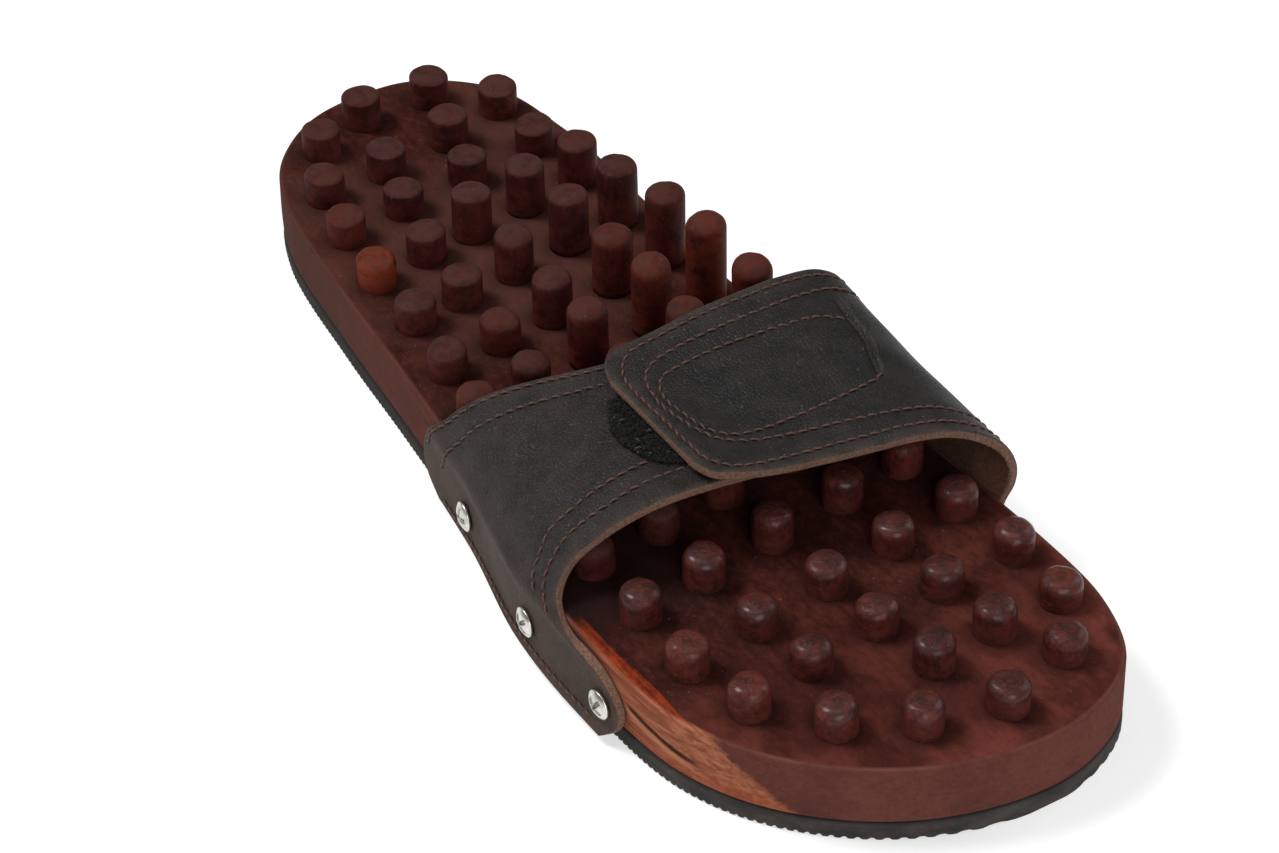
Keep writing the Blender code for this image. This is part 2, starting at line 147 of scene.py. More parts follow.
def smooth_path(points, steps, closed):
    """Centripetal Catmull-Rom curve through the points, with so many steps a span."""
    points = np.asarray(points, dtype=float)
    if closed:
        ring = np.vstack((points[-1:], points, points[:2]))
    else:
        ring = np.vstack((2 * points[:1] - points[1:2], points, 2 * points[-1:] - points[-2:-1]))
    spans = [path_span(ring[start:start + 4], steps) for start in range(len(ring) - 3)]
    if not closed:
        spans.append(points[-1:])
    return np.vstack(spans)


def path_span(corners, steps):
    """One span of the curve: straight blends of four corners, blended twice more by their knots."""
    lengths = np.sqrt(np.linalg.norm(np.diff(corners, axis=0), axis=1))
    knots = np.concatenate(([0], np.cumsum(lengths)))
    time = np.linspace(knots[1], knots[2], steps, endpoint=False)[:, None]

    def blend(first, second, start, end):
        return ((knots[end] - time) * first + (time - knots[start]) * second) / (knots[end] - knots[start])

    lines = [blend(corners[k], corners[k + 1], k, k + 1) for k in range(3)]
    arcs = [blend(lines[k], lines[k + 1], k, k + 2) for k in range(2)]
    return blend(*arcs, 1, 2)


def arc_length(path):
    """Length of a path from its start to each of its points."""
    return np.concatenate(([0], np.cumsum(np.linalg.norm(np.diff(path, axis=0), axis=1))))


def on_path(places, length, path):
    """Points of a path at places along its length."""
    return np.stack([np.interp(places, length, line) for line in path.T], axis=-1)


def evenly(path, count, closed=False):
    """The path's points again, spaced evenly by arc length."""
    if closed:
        path = np.vstack((path, path[:1]))
    length = arc_length(path)
    return on_path(np.linspace(0, length[-1], count, endpoint=not closed), length, path)


def unit(vectors):
    """The vectors, each brought to a length of 1."""
    return vectors / np.linalg.norm(vectors, axis=-1, keepdims=True)


def full_turn(count):
    """Angles of so many even steps round a circle."""
    return np.arange(count) / count * 2 * np.pi


def clamp(values):
    """The values, held between 0 and 1."""
    return np.clip(values, 0, 1)


def hump(distance, width):
    """1 at no distance, falling off like a bell over the width."""
    return np.exp(-(distance / width) ** 2)


OUTLINE_SPAN_STEPS = 40
FINE_OUTLINE = smooth_path(OUTLINE, OUTLINE_SPAN_STEPS, closed=True)
TOE_INDEX = int(np.argmax(FINE_OUTLINE[:, 1]))
HEEL_INDEX = int(np.argmin(FINE_OUTLINE[:, 1]))


def outline_half(side):
    """The outline's outer (1) or inner (-1) half, ordered from heel to toe."""
    turned = np.roll(FINE_OUTLINE, -HEEL_INDEX, axis=0)
    toe = (TOE_INDEX - HEEL_INDEX) % len(turned)
    half = turned[:toe + 1] if side > 0 else np.vstack((turned[toe:], turned[:1]))[::-1]
    return half[np.argsort(half[:, 1])]


OUTLINE_HALVES = {side: outline_half(side) for side in (1, -1)}


def board_side(along, side):
    """Across of the board's outer (1) or inner (-1) side at a place along the shoe."""
    half = OUTLINE_HALVES[side]
    return np.interp(along, half[:, 1], half[:, 0])


def frame_shift():
    """Where the shoe's zero lies in the row frame, from the outsole's box."""
    low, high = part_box("outsole")
    middle = (FINE_OUTLINE.min(axis=0) + FINE_OUTLINE.max(axis=0)) / 2 * MM
    return np.array(((low.x + high.x) / 2 + middle[0], (low.y + high.y) / 2 + middle[1], 0))


SHIFT = frame_shift()


def shoe_points(points):
    """Turn (across, along, up) millimetres into the row frame's metres, with the toe to -Y."""
    return np.asarray(points, dtype=float) * (-MM, -MM, MM) + SHIFT


def ripple(*terms):
    """Sum of sine waves; each term is an amplitude and a phase array."""
    return sum(size * np.sin(phase) for size, phase in terms)


# Meshes

def grid_faces(rows, columns, first=0, wrap=False):
    """Quads between the neighbours of a grid; wrap joins the last column to the first."""
    index = first + np.arange(rows * columns).reshape(rows, columns)
    right = np.roll(index, -1, axis=1) if wrap else index[:, 1:]
    left = index if wrap else index[:, :-1]
    quads = np.stack((left[:-1], right[:-1], right[1:], left[1:]), axis=-1)
    return quads.reshape(-1, 4)


def tube_faces(count, rows, columns):
    """Quads of many equal capped tubes whose rings lie one after another in the vertex list."""
    side = grid_faces(rows, columns, wrap=True)
    step = np.arange(count)[:, None, None] * (rows * columns)
    ring = np.arange(columns)
    caps = np.stack((ring[::-1], (rows - 1) * columns + ring))
    return [(side[None] + step).reshape(-1, 4), (caps[None] + step).reshape(-1, columns)]


def sheet_faces(rows, columns):
    """Quads of a thick sheet: its upper grid, its lower grid, whose points come next, and the rim."""
    total = rows * columns
    index = np.arange(total).reshape(rows, columns)
    border = np.concatenate((index[0, :-1], index[:-1, -1], index[-1, :0:-1], index[:0:-1, 0]))
    after = np.roll(border, -1)
    return [
        grid_faces(rows, columns),
        grid_faces(rows, columns, first=total)[:, ::-1],
        np.stack((border, border + total, after + total, after), axis=1),
    ]


def flipped(faces):
    """The faces with their corners in the other order."""
    return [block[:, ::-1] for block in faces]


def add_object(name, data):
    """New object in the scene."""
    made = bpy.data.objects.new(name, data)
    bpy.context.scene.collection.objects.link(made)
    return made


def add_piece(name, points, faces, material, nodes=(), values=None):
    """Mesh piece in the row frame from vertex and face arrays, with its point values, on the body."""
    mesh = bpy.data.meshes.new(name)
    points = np.reshape(points, (-1, 3))
    corners = np.concatenate([block.ravel() for block in faces])
    sizes = np.concatenate([np.full(len(block), block.shape[1]) for block in faces])
    mesh.vertices.add(len(points))
    mesh.vertices.foreach_set("co", shoe_points(points).ravel())
    mesh.loops.add(len(corners))
    mesh.loops.foreach_set("vertex_index", corners)
    mesh.polygons.add(len(sizes))
    mesh.polygons.foreach_set("loop_start", np.cumsum(sizes) - sizes)
    mesh.update(calc_edges=True)
    mesh.shade_smooth()
    for key, value in (values or {}).items():
        layer = mesh.attributes.new(key, "FLOAT", "POINT")
        layer.data.foreach_set("value", np.asarray(value, dtype=np.float32).ravel())
    mesh.materials.append(material)
    piece = add_object(name, mesh)
    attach(piece, "root")
    if nodes:
        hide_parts(*nodes)
    return piece


# Shading

class Value:
    """A socket in a material's tree. Arithmetic on it adds Math nodes."""

    def __init__(self, tree, socket=None):
        self.tree = tree
        self.socket = socket

    def node(self, kind, settings=None, sockets=None, output=0):
        """Add a node: its settings first, then the values or links of its sockets."""
        made = self.tree.nodes.new(kind)
        for key, setting in (settings or {}).items():
            setattr(made, key, setting)
        set_sockets(self.tree, made, sockets or {})
        return Value(self.tree, made.outputs[output])

    def math(self, operation, *others):
        return self.node("ShaderNodeMath", {"operation": operation}, dict(enumerate((self, *others))))

    __add__ = __radd__ = partialmethod(math, "ADD")
    __sub__ = partialmethod(math, "SUBTRACT")
    __mul__ = __rmul__ = partialmethod(math, "MULTIPLY")

    def __rsub__(self, other):
        return self.math("MULTIPLY_ADD", -1, other)

    def ramp(self, low, high, first, last):
        """The first value below low, the last above high, smooth between."""
        return self.node(
            "ShaderNodeMapRange", {"interpolation_type": "SMOOTHSTEP"},
            {"Value": self, "From Min": low, "From Max": high, "To Min": first, "To Max": last},
        )

    def rise(self, low, high):
        """0 below low, 1 above high, smooth between."""
        return self.ramp(low, high, 0, 1)

    def fall(self, low, high):
        """1 below low, 0 above high, smooth between."""
        return self.ramp(low, high, 1, 0)

    def bell(self, middle, width):
        """1 at the middle value, falling to 0 at the width on either side."""
        return (self - middle).math("ABSOLUTE").fall(0, width)

    def tint(self, first, second):
        """Colour between two colours, by this value."""
        return self.node(
            "ShaderNodeMix", {"data_type": "RGBA"},
            {0: self, 6: rgba(first), 7: rgba(second)}, output=2,
        )

    def noise(self, scale, detail=2, roughness=0.5, distortion=0):
        """Noise over this vector, which is scaled first by one number or by three."""
        if isinstance(scale, (int, float)):
            scale = (scale, scale, scale)
        placed = self.node("ShaderNodeMapping", None, {"Vector": self, "Scale": scale})
        settings = {"Detail": detail, "Roughness": roughness, "Distortion": distortion}
        return self.node("ShaderNodeTexNoise", None, {"Vector": placed, "Scale": 1, **settings})

    def point(self, name):
        """The piece's own point value by name."""
        return self.node("ShaderNodeAttribute", {"attribute_name": name}, None, "Fac")

    def bump(self, strength, distance):
        """Normal from this height."""
        return self.node("ShaderNodeBump", None, {"Height": self, "Strength": strength, "Distance": distance})


def set_sockets(tree, node, sockets):
    """Give a node's inputs their values, or their links where a value is a socket."""
    for key, value in sockets.items():
        if isinstance(value, Value):
            tree.links.new(value.socket, node.inputs[key])
        else:
            node.inputs[key].default_value = value


def rgba(colour):
    """A colour as a socket value; a link passes through."""
    return colour if isinstance(colour, Value) else (*colour, 1)


def painted(colour, *layers):
    """The colour under layers, each of them a mask and the colour that it lets in."""
    for mask, layer in layers:
        colour = mask.tint(colour, layer)
    return colour


def surface(name, look, *options):
    """Principled material whose sockets come from a look, a function of the object coordinates."""
    material = bpy.data.materials.new(name)
    material.use_nodes = True
    tree = material.node_tree
    coords = Value(tree).node("ShaderNodeTexCoord", output="Object")
    set_sockets(tree, tree.nodes["Principled BSDF"], look(coords, *options))
    return material


def shoe_axes(coords):
    """Across, along and up in millimetres, from object coordinates."""
    axes = []
    for k, sign in enumerate((-1, -1, 1)):
        raw = coords.node("ShaderNodeSeparateXYZ", None, {0: coords}, k)
        axes.append((raw - SHIFT[k]) * (sign / MM))
    return axes


WOOD_DARK = (0.017, 0.0056, 0.0047)
WOOD_MID = (0.037, 0.0104, 0.0083)
WOOD_RED = (0.069, 0.0166, 0.0116)
WOOD_BROWN = (0.055, 0.0148, 0.0100)
WOOD_FLECK = (0.108, 0.0275, 0.0165)
WOOD_TOE = (0.152, 0.0380, 0.0290)
WOOD_DUST = (0.086, 0.0345, 0.0270)
WOOD_ORANGE = (0.30, 0.042, 0.013)
ORANGE_DARK = (0.085, 0.0135, 0.0065)
SIDE_DARK = (0.073, 0.0265, 0.0215)
SIDE_PALE = (0.130, 0.0440, 0.0355)
SIDE_DUST = (0.066, 0.0290, 0.0225)
SAPWOOD = (0.36, 0.134, 0.073)
SAPWOOD_DARK = (0.20, 0.060, 0.032)
SAPWOOD_FOOT = (0.24, 0.058, 0.026)
SLIVER = (0.44, 0.19, 0.105)
SPLIT_DARK = (0.018, 0.0115, 0.0075)
RIM_WEAR_AND_HIGHLIGHT = (0.20, 0.085, 0.064)
GRIME_AND_SHADE = (0.0170, 0.0070, 0.0062)
STRAP_SHADE = (0.0105, 0.0068, 0.0062)
WOOD_LINT = (0.24, 0.16, 0.13)


def board_look(coords):
    """Dark red wood with the grain along the shoe, duller on the side and dusty at the heel, with a pale
    sapwood wedge and a split on the outer side.
    """
    across, along, up = shoe_axes(coords)
    rim, near = coords.point("rim"), coords.point("near")
    bands = coords.noise((120, 5, 170), 3, 0.55, 0.8)
    fibres = coords.noise((750, 20, 750), 4, 0.65, 0.3)
    pores = coords.noise((1700, 55, 1700), 2, 0.5).rise(0.60, 0.74)
    blotch = coords.noise((55, 40, 55), 4, 0.65)
    cloud = coords.noise((24, 17, 24), 3, 0.6)
    stains = coords.noise((95, 75, 95), 3, 0.55)
    fuzz = coords.noise((620, 380, 620), 4, 0.72)
    specks = coords.noise(1100, 1, 0.4).rise(0.76, 0.81)
    top = rim.rise(0.5, 1.5)
    side = 1 - top
    outer = across.rise(28, 34)
    toe = along.rise(70, 118)
    inner = across.fall(-22, 34)
    # Painted shade under the strap, deepest along the board's sides
    flanks = across.rise(0, 44) + across.fall(-47, -27)
    under = along.rise(-8, 18) * along.fall(58, 82) * flanks
    side_wood = painted(
        (blotch * 0.5 + fibres * 0.35 + fuzz * 0.15).rise(0.33, 0.67).tint(SIDE_DARK, SIDE_PALE),
        (along.fall(-100, -5) * (blotch * 0.5 + fibres * 0.3 + 0.4), SIDE_DUST),
    )
    heel_dust = along.fall(-60, 70) * 0.7 + 0.05
    # Pale wedge on the side and its orange edge on the top, in front of the strap's end
    wobble = (fibres - 0.5) * 7 + (blotch - 0.5) * 6
    wedge = (130.6 - up * 1.1 - along + wobble).rise(0, 2.5) * along.rise(62, 78) * outer
    pale = painted(
        (fibres * 0.7 + blotch * 0.3).rise(0.38, 0.60).tint(SAPWOOD, SAPWOOD_DARK),
        (up.fall(6.5, 11) * 0.5, SAPWOOD_FOOT),
    )
    stripe_width = ((107 - along) * 0.2).math("MINIMUM", 3.6) + (blotch - 0.5) * 2
    stripe = (stripe_width - rim).rise(0, 0.9) * rim.rise(0.2, 0.9) * along.rise(58, 66) * outer
    orange = (fibres * 0.6 + fuzz * 0.4).rise(0.40, 0.60).tint(WOOD_ORANGE, ORANGE_DARK)
    # Split in the wedge: an open line, thicker towards the strap, over a paler sliver
    line = up - 12 + (along - 91) * 0.15 + (blotch - 0.5) * 1.6
    on_line = along.rise(81.5, 84) * along.fall(99, 109) * outer * side
    flaw = line.bell(0, 1.5).rise(0.3, 0.85) * on_line
    # Thin pale rim, for wear and a painted highlight, weaker at the heel, on the wedge and on the toe's inner
    # side
    rim_wear_and_highlight = rim.bell(0.45, 0.5) * (blotch.rise(0.35, 0.65) * 0.6 + 0.2)
    rim_wear_and_highlight = rim_wear_and_highlight * (along.rise(-70, 60) * 0.7 + 0.3)
    rim_wear_and_highlight = rim_wear_and_highlight * 0.4 * (1 - wedge * 0.85) * (1 - toe * inner * 0.8)
    colour = painted(
        bands.rise(0.36, 0.66).tint(WOOD_MID, WOOD_RED),
        (cloud.rise(0.4, 0.62) * 0.6, WOOD_BROWN),
        # Redder towards the toe's inner side and near the rim; lighter on the inner side, so the outer side
        # by the strap stays darker as painted shade
        (toe * (inner * 0.6 + 0.15), WOOD_TOE),
        (rim.fall(3, 12) * toe * 0.6, WOOD_TOE),
        (blotch.rise(0.44, 0.64) * 0.65, WOOD_DARK),
        (fibres.rise(0.5, 0.75) * 0.25, WOOD_DARK),
        (stains.rise(0.42, 0.62) * toe * 0.55, WOOD_MID),
        (fuzz.rise(0.47, 0.68) * (0.6 - toe * 0.35), WOOD_DARK),
        (fuzz.fall(0.32, 0.5) * (0.45 - toe * 0.2), WOOD_FLECK),
        # Painted shade under the strap
        (under * 0.85, STRAP_SHADE),
        (side * 0.9, side_wood),
        (top * heel_dust * cloud.rise(0.35, 0.65), WOOD_DUST),
        (wedge * side * 0.95, pale),
        (stripe * 0.85, orange),
        (line.bell(-1.7, 1.5) * on_line * 0.5, SLIVER),
        (flaw * 0.9, SPLIT_DARK),
        (pores * (0.35 - top * 0.25), WOOD_DARK),
        # Grime and painted shade round the pegs, the rim paler for wear and a painted highlight, and pale
        # specks of lint
        (near * top * (blotch * 0.6 + 0.25), GRIME_AND_SHADE),
        (rim_wear_and_highlight, RIM_WEAR_AND_HIGHLIGHT),
        (specks * top * 0.25, WOOD_LINT),
    )
    height = fibres * 0.3 - pores * (0.4 - top * 0.32) - flaw * 4 + blotch * 0.9 + fuzz * 0.7
    return {
        "Base Color": colour,
        "Roughness": blotch * 0.22 + 0.58 - top * 0.1,
        "Specular IOR Level": 0.01,
        "Normal": height.bump(0.4, 0.0006),
    }


PEG_DARK = (0.031, 0.0082, 0.0074)
PEG_RED = (0.110, 0.0205, 0.0155)
PEG_FLECK = (0.150, 0.0230, 0.0130)
PEG_WARM_AND_LIT = (0.200, 0.0300, 0.0095)
PEG_SHADE = (0.018, 0.0070, 0.0068)
PEG_BOUNCE_LIGHT = (0.125, 0.0265, 0.0185)
PEG_STAIN = (0.0185, 0.0086, 0.0080)
PEG_EDGE_WEAR_AND_HIGHLIGHT = (0.092, 0.0420, 0.0330)
PEG_LINT = (0.20, 0.12, 0.09)
END_BROWN = (0.043, 0.0172, 0.0138)
END_GREY = (0.033, 0.0205, 0.0190)
# Point values that the pegs' meshes carry
PEG_VALUES = ("tone", "warm_and_lit", "crown", "seat", "pith", "low", "ash")


def peg_look(coords, gloss):
    """Turned wood: fine lathe scratches round the side, dusty end grain on top and a dark pith, each peg
    with its own tone. Gloss runs from 0, worn and dusty, to 1, lacquered.
    """
    tone, warm_and_lit, crown, seat, pith, low, ash = (coords.point(key) for key in PEG_VALUES)
    grain = coords.noise((900, 900, 60), 4, 0.6, 0.4)
    mottle = coords.noise((280, 280, 200), 4, 0.65)
    stains = coords.noise(150, 4, 0.7, 0.5)
    scratches = coords.noise((120, 120, 850), 3, 0.65)
    fuzz = coords.noise((700, 700, 420), 4, 0.72)
    lumps = coords.noise(420, 2, 0.5)
    specks = coords.noise(1300, 1, 0.4).rise(0.75, 0.80)
    side = 1 - crown
    shade = ((1 - low) * 0.35 + 0.2) * (1 - gloss * 0.6) * (1 - warm_and_lit * 0.8) * side
    bounce_light = low.rise(0.2, 0.85) * stains.rise(0.36, 0.6) * side
    patches = (mottle * 0.5 + fuzz * 0.5).rise(0.36, 0.62)
    dust = crown * (patches * 0.6 + 0.3) * (1 - gloss * 0.75) * (1 - warm_and_lit * 0.4)
    colour = painted(
        (tone * 0.5 + mottle.rise(0.40, 0.62) * 0.6).tint(PEG_DARK, PEG_RED),
        (grain.rise(0.5, 0.72) * 0.3, WOOD_DARK),
        (fuzz.rise(0.46, 0.64) * 0.55, WOOD_DARK),
        (fuzz.fall(0.32, 0.48) * 0.35, PEG_FLECK),
        # Paler orange wood, on the pegs by the strap partly painted light
        (warm_and_lit * stains.rise(0.34, 0.56) * 0.95, PEG_WARM_AND_LIT),
        # Painted shade on the upper side and painted red bounce light on the lower side, lathe marks, then
        # the dusty end and its paler edge, for wear and a painted highlight
        (shade, PEG_SHADE),
        (bounce_light * (0.5 + gloss * 0.25), PEG_BOUNCE_LIGHT),
        (scratches.rise(0.50, 0.72) * 0.4 * side, WOOD_DARK),
        (dust, ash.tint(END_BROWN, END_GREY)),
        (stains.rise(0.48, 0.64) * (gloss * 0.4 + 0.1), PEG_STAIN),
        # Paler edge of the end: wear and a painted highlight
        (crown.bell(0.75, 0.55) * patches * (0.5 - gloss * 0.3), PEG_EDGE_WEAR_AND_HIGHLIGHT),
        (pith * 0.6, SPLIT_DARK),
        # Grime and painted shade where the peg stands in the board
        (seat * 0.3, GRIME_AND_SHADE),
        (specks * 0.3, PEG_LINT),
    )
    height = scratches * 0.25 * side + grain * 0.3 + mottle * 0.8 + lumps * 0.5 + fuzz * 0.7
    return {
        "Base Color": colour,
        "Roughness": mottle * 0.24 + crown * (0.15 - gloss * 0.15) + (0.42 - gloss * 0.12) + seat * 0.35,
        "Specular IOR Level": 0.05 + gloss * 0.07,
        "Coat Weight": (1 - seat) * (gloss * 0.32) * stains.rise(0.36, 0.58),
        "Coat Roughness": 0.25,
        "Normal": height.bump(0.35 + gloss * 0.2, 0.0006 + gloss * 0.0004),
    }


LEATHER_BLACK = (0.0106, 0.0112, 0.0113)
LEATHER_GREY = (0.0182, 0.0182, 0.0178)
LEATHER_CREASE_SHADE = (0.0040, 0.0040, 0.0040)
LEATHER_DUST = (0.072, 0.043, 0.030)
LEATHER_WEAR_AND_HIGHLIGHT = (0.062, 0.047, 0.039)
LEATHER_LINT = (0.20, 0.17, 0.14)
SUEDE_DARK = (0.098, 0.044, 0.026)
SUEDE_PALE = (0.23, 0.112, 0.070)
SUEDE_SHADE = (0.030, 0.0165, 0.0115)
CUT_DARK = (0.095, 0.050, 0.034)
CUT_PALE = (0.225, 0.125, 0.088)
# Point values that the straps' meshes carry
LEATHER_VALUES = ("inside", "cut", "wear_and_highlight", "dust_and_shade")


def leather_look(coords):
    """Pebbled black leather outside, brown suede inside and a raw brown cut edge."""
    inside, cut, wear_and_highlight, dust_and_shade = (coords.point(key) for key in LEATHER_VALUES)
    cells = coords.node(
        "ShaderNodeTexVoronoi", {"feature": "DISTANCE_TO_EDGE"},
        {"Vector": coords, "Scale": 1150, "Randomness": 1},
    )
    pebble = cells.rise(0, 0.22)
    mottle = coords.noise(170, 4, 0.6)
    fine = coords.noise(2600, 3, 0.6)
    nap = coords.noise((1900, 1500, 1900), 4, 0.7)
    specks = coords.noise(1200, 1, 0.4).rise(0.74, 0.79)
    patches, fibre = mottle.rise(0.3, 0.7), nap.rise(0.3, 0.7)
    black = painted(
        mottle.rise(0.3, 0.75).tint(LEATHER_BLACK, LEATHER_GREY),
        # Painted shade in the grain's creases
        ((1 - pebble) * 0.3, LEATHER_CREASE_SHADE),
        (dust_and_shade * (patches * 0.5 + 0.5), LEATHER_DUST),
        # Paler at worn edges, and as a painted highlight along the fold and the ridge
        (wear_and_highlight * mottle.rise(0.3, 0.6) * 0.6, LEATHER_WEAR_AND_HIGHLIGHT),
        (specks * 0.35, LEATHER_LINT),
    )
    # Suede, darker away from its edges as painted shade
    suede = (dust_and_shade * (patches * 0.3 + 0.6)).tint(fibre.tint(SUEDE_DARK, SUEDE_PALE), SUEDE_SHADE)
    rough_side = (inside + cut).math("MINIMUM", 1)
    height = pebble * (1 - rough_side) * 0.8 + fine * 0.35 + nap * rough_side * 2.2 + mottle * 0.7
    return {
        "Base Color": painted(black, (inside, suede), (cut, fibre.tint(CUT_DARK, CUT_PALE))),
        "Roughness": (mottle * 0.18 + 0.36) + rough_side * 0.36 + dust_and_shade * 0.3,
        "Specular IOR Level": 0.17,
        "Normal": height.bump(0.4, 0.0004),
    }


THREAD_DARK = (0.042, 0.0150, 0.0098)
THREAD_PALE = (0.088, 0.032, 0.0210)


def thread_look(coords):
    """Waxed red-brown sewing thread with a fine twist."""
    twist = coords.noise(1500, 2, 0.6)
    return {
        "Base Color": twist.rise(0.3, 0.7).tint(THREAD_DARK, THREAD_PALE),
        "Roughness": twist * 0.2 + 0.5,
        "Normal": twist.bump(0.5, 0.0002),
    }


RUBBER_DARK = (0.026, 0.024, 0.023)
RUBBER_DUST = (0.058, 0.050, 0.046)
RUBBER_SPECK = (0.095, 0.082, 0.074)
RUBBER_HEEL = (0.013, 0.0125, 0.012)
RUBBER_SEAM = (0.014, 0.012, 0.012)


def rubber_look(coords):
    """Dusty black rubber, paler where dust sits on its side."""
    along, up = shoe_axes(coords)[1:]
    dust = coords.noise((110, 110, 260), 4, 0.6)
    speck = coords.noise(900, 2, 0.5)
    colour = painted(
        dust.rise(0.3, 0.75).tint(RUBBER_DARK, RUBBER_DUST),
        (speck.rise(0.6, 0.8) * 0.35, RUBBER_SPECK),
        (along.fall(-60, 60) * 0.6, RUBBER_HEEL),
        (up.rise(3.9, 4.9) * 0.5, RUBBER_SEAM),
    )
    return {
        "Base Color": colour,
        "Roughness": dust * 0.2 + 0.72,
        "Specular IOR Level": 0.12,
        "Normal": (speck + dust).bump(0.35, 0.0004),
    }


PILE_DARK = (0.0040, 0.0040, 0.0039)
PILE_PALE = (0.0210, 0.0205, 0.0185)
PILE_LINT = (0.26, 0.22, 0.11)


def pile_look(coords):
    """Black looped pile with a few pale specks of lint."""
    shade = coords.noise(1300, 2, 0.6)
    colour = coords.point("lint").tint(shade.rise(0.3, 0.7).tint(PILE_DARK, PILE_PALE), PILE_LINT)
    return {
        "Base Color": colour,
        "Roughness": shade * 0.15 + 0.72,
        "Specular IOR Level": 0.25,
        "Normal": shade.bump(0.4, 0.0003),
    }


NICKEL_DARK = (0.50, 0.48, 0.445)
NICKEL_PALE = (0.72, 0.70, 0.66)
NICKEL_DARKENED = (0.075, 0.062, 0.052)


def nickel_look(coords):
    """Bright nickel plate with fine scratches, darker in the recess."""
    darkening = coords.point("darkening")
    smear = coords.noise(500, 3, 0.6)
    plate = smear.rise(0.3, 0.7).tint(NICKEL_DARK, NICKEL_PALE)
    return {
        "Base Color": (darkening * 0.9).tint(plate, NICKEL_DARKENED),
        "Metallic": 1 - darkening * 0.5,
        "Roughness": smear * 0.16 + 0.24 + darkening * 0.3,
        "Normal": smear.bump(0.2, 0.0002),
    }


FLOOR_DARK = (0.54, 0.54, 0.54)
FLOOR_PALE = (0.56, 0.56, 0.56)
FLOOR_GLOW = 0.55
WHITE = (1, 1, 1, 1)


def floor_look(coords):
    """Matte white floor that glows a little, like a light table."""
    return {
        "Base Color": coords.noise(3, 2, 0.5).tint(FLOOR_DARK, FLOOR_PALE),
        "Roughness": 0.9,
        "Specular IOR Level": 0.1,
        "Emission Color": WHITE,
        "Emission Strength": FLOOR_GLOW,
    }


# Sole and board

RIB_PITCH = 1.8
RIB_DEPTH = 0.55
RIB_STEPS = 6
RIB_STEEPNESS = 1.3
SOLE_ACROSS_STEPS = 13
SOLE_LIP = 0.35
# Rings of the rubber's wall: height, how far the grooves and the side's waves reach it, and its set-out
WallRing = namedtuple("WallRing", ("up", "groove", "wave", "out"))
WALL_RINGS = (
    WallRing(0.35, 1, 0, 0),
    WallRing(1.2, 1, 0.6, 0),
    WallRing(3.2, 0, 1, 0),
    WallRing(4.7, 0, 0, -0.05),
)
# Rings close to each end of the sole, and where the even run of rings begins
END_BUNCH = np.array((0.01, 0.05, 0.12, 0.25, 0.45, 0.7))
END_RUN = 1


def make_outsole(rubber):
    """Rubber sheet as closed rings across the shoe, one after another from heel to toe.

    Each ring runs over the ribbed underside, up the outer wall, back over the top and down the inner
    wall. The underside's height is a clipped sine of the place along the shoe.
    """
    heel, toe = FINE_OUTLINE[:, 1].min(), FINE_OUTLINE[:, 1].max()
    steps = int((toe - heel) / RIB_PITCH * RIB_STEPS)
    run = np.linspace(heel + END_RUN, toe - END_RUN, steps)
    along = np.concatenate((heel + END_BUNCH, run, toe - END_BUNCH[::-1]))
    outer, inner = board_side(along, 1), board_side(along, -1)
    groove = RIB_DEPTH * clamp(0.5 + RIB_STEEPNESS * np.sin(2 * np.pi * along / RIB_PITCH))
    wave = ripple((0.10, along / 7), (0.07, along / 2.7 + 1))
    lip = np.minimum(SOLE_LIP, (outer - inner) / 4)
    inner_lip, outer_lip = (inner + lip)[:, None], (outer - lip)[:, None]
    share = np.linspace(0, 1, SOLE_ACROSS_STEPS)
    under = inner_lip * (1 - share) + outer_lip * share
    wall_up = np.stack([ring.up + ring.groove * groove for ring in WALL_RINGS], axis=1)
    wall_out = np.stack([ring.wave * wave + ring.out for ring in WALL_RINGS], axis=1)
    inner_wall = (inner[:, None] - wall_out)[:, ::-1]
    ring_across = np.concatenate(
        (under, outer[:, None] + wall_out, outer_lip, inner_lip, inner_wall), axis=1)
    under_up = np.broadcast_to(groove[:, None], under.shape)
    top = np.full((len(along), 2), RUBBER_TOP)
    ring_up = np.concatenate((under_up, wall_up, top, wall_up[:, ::-1]), axis=1)
    points = np.stack((ring_across, np.broadcast_to(along[:, None], ring_up.shape), ring_up), axis=-1)
    faces = flipped(tube_faces(1, *ring_up.shape))
    return add_piece("outsole_rubber", points, faces, rubber, ("outsole",))


BOARD_RIM_COUNT = 640
BOARD_TOP_RINGS = 40
SPINE_REACH = 96
# Reach of the grime and painted shade round the pegs on the board
PEG_GRIME_AND_SHADE_REACH = 2.2
FOOT_BEVEL = 0.5
FOOT_STEP = 0.15
SIDE_LEVELS = np.linspace(0.04, 1, 7)
EDGE_RADIUS = 0.85
EDGE_BENDS = np.radians((18, 36, 54, 72, 90))
# How far the rings on the top close in on the middle line
TOP_REACH = 0.985


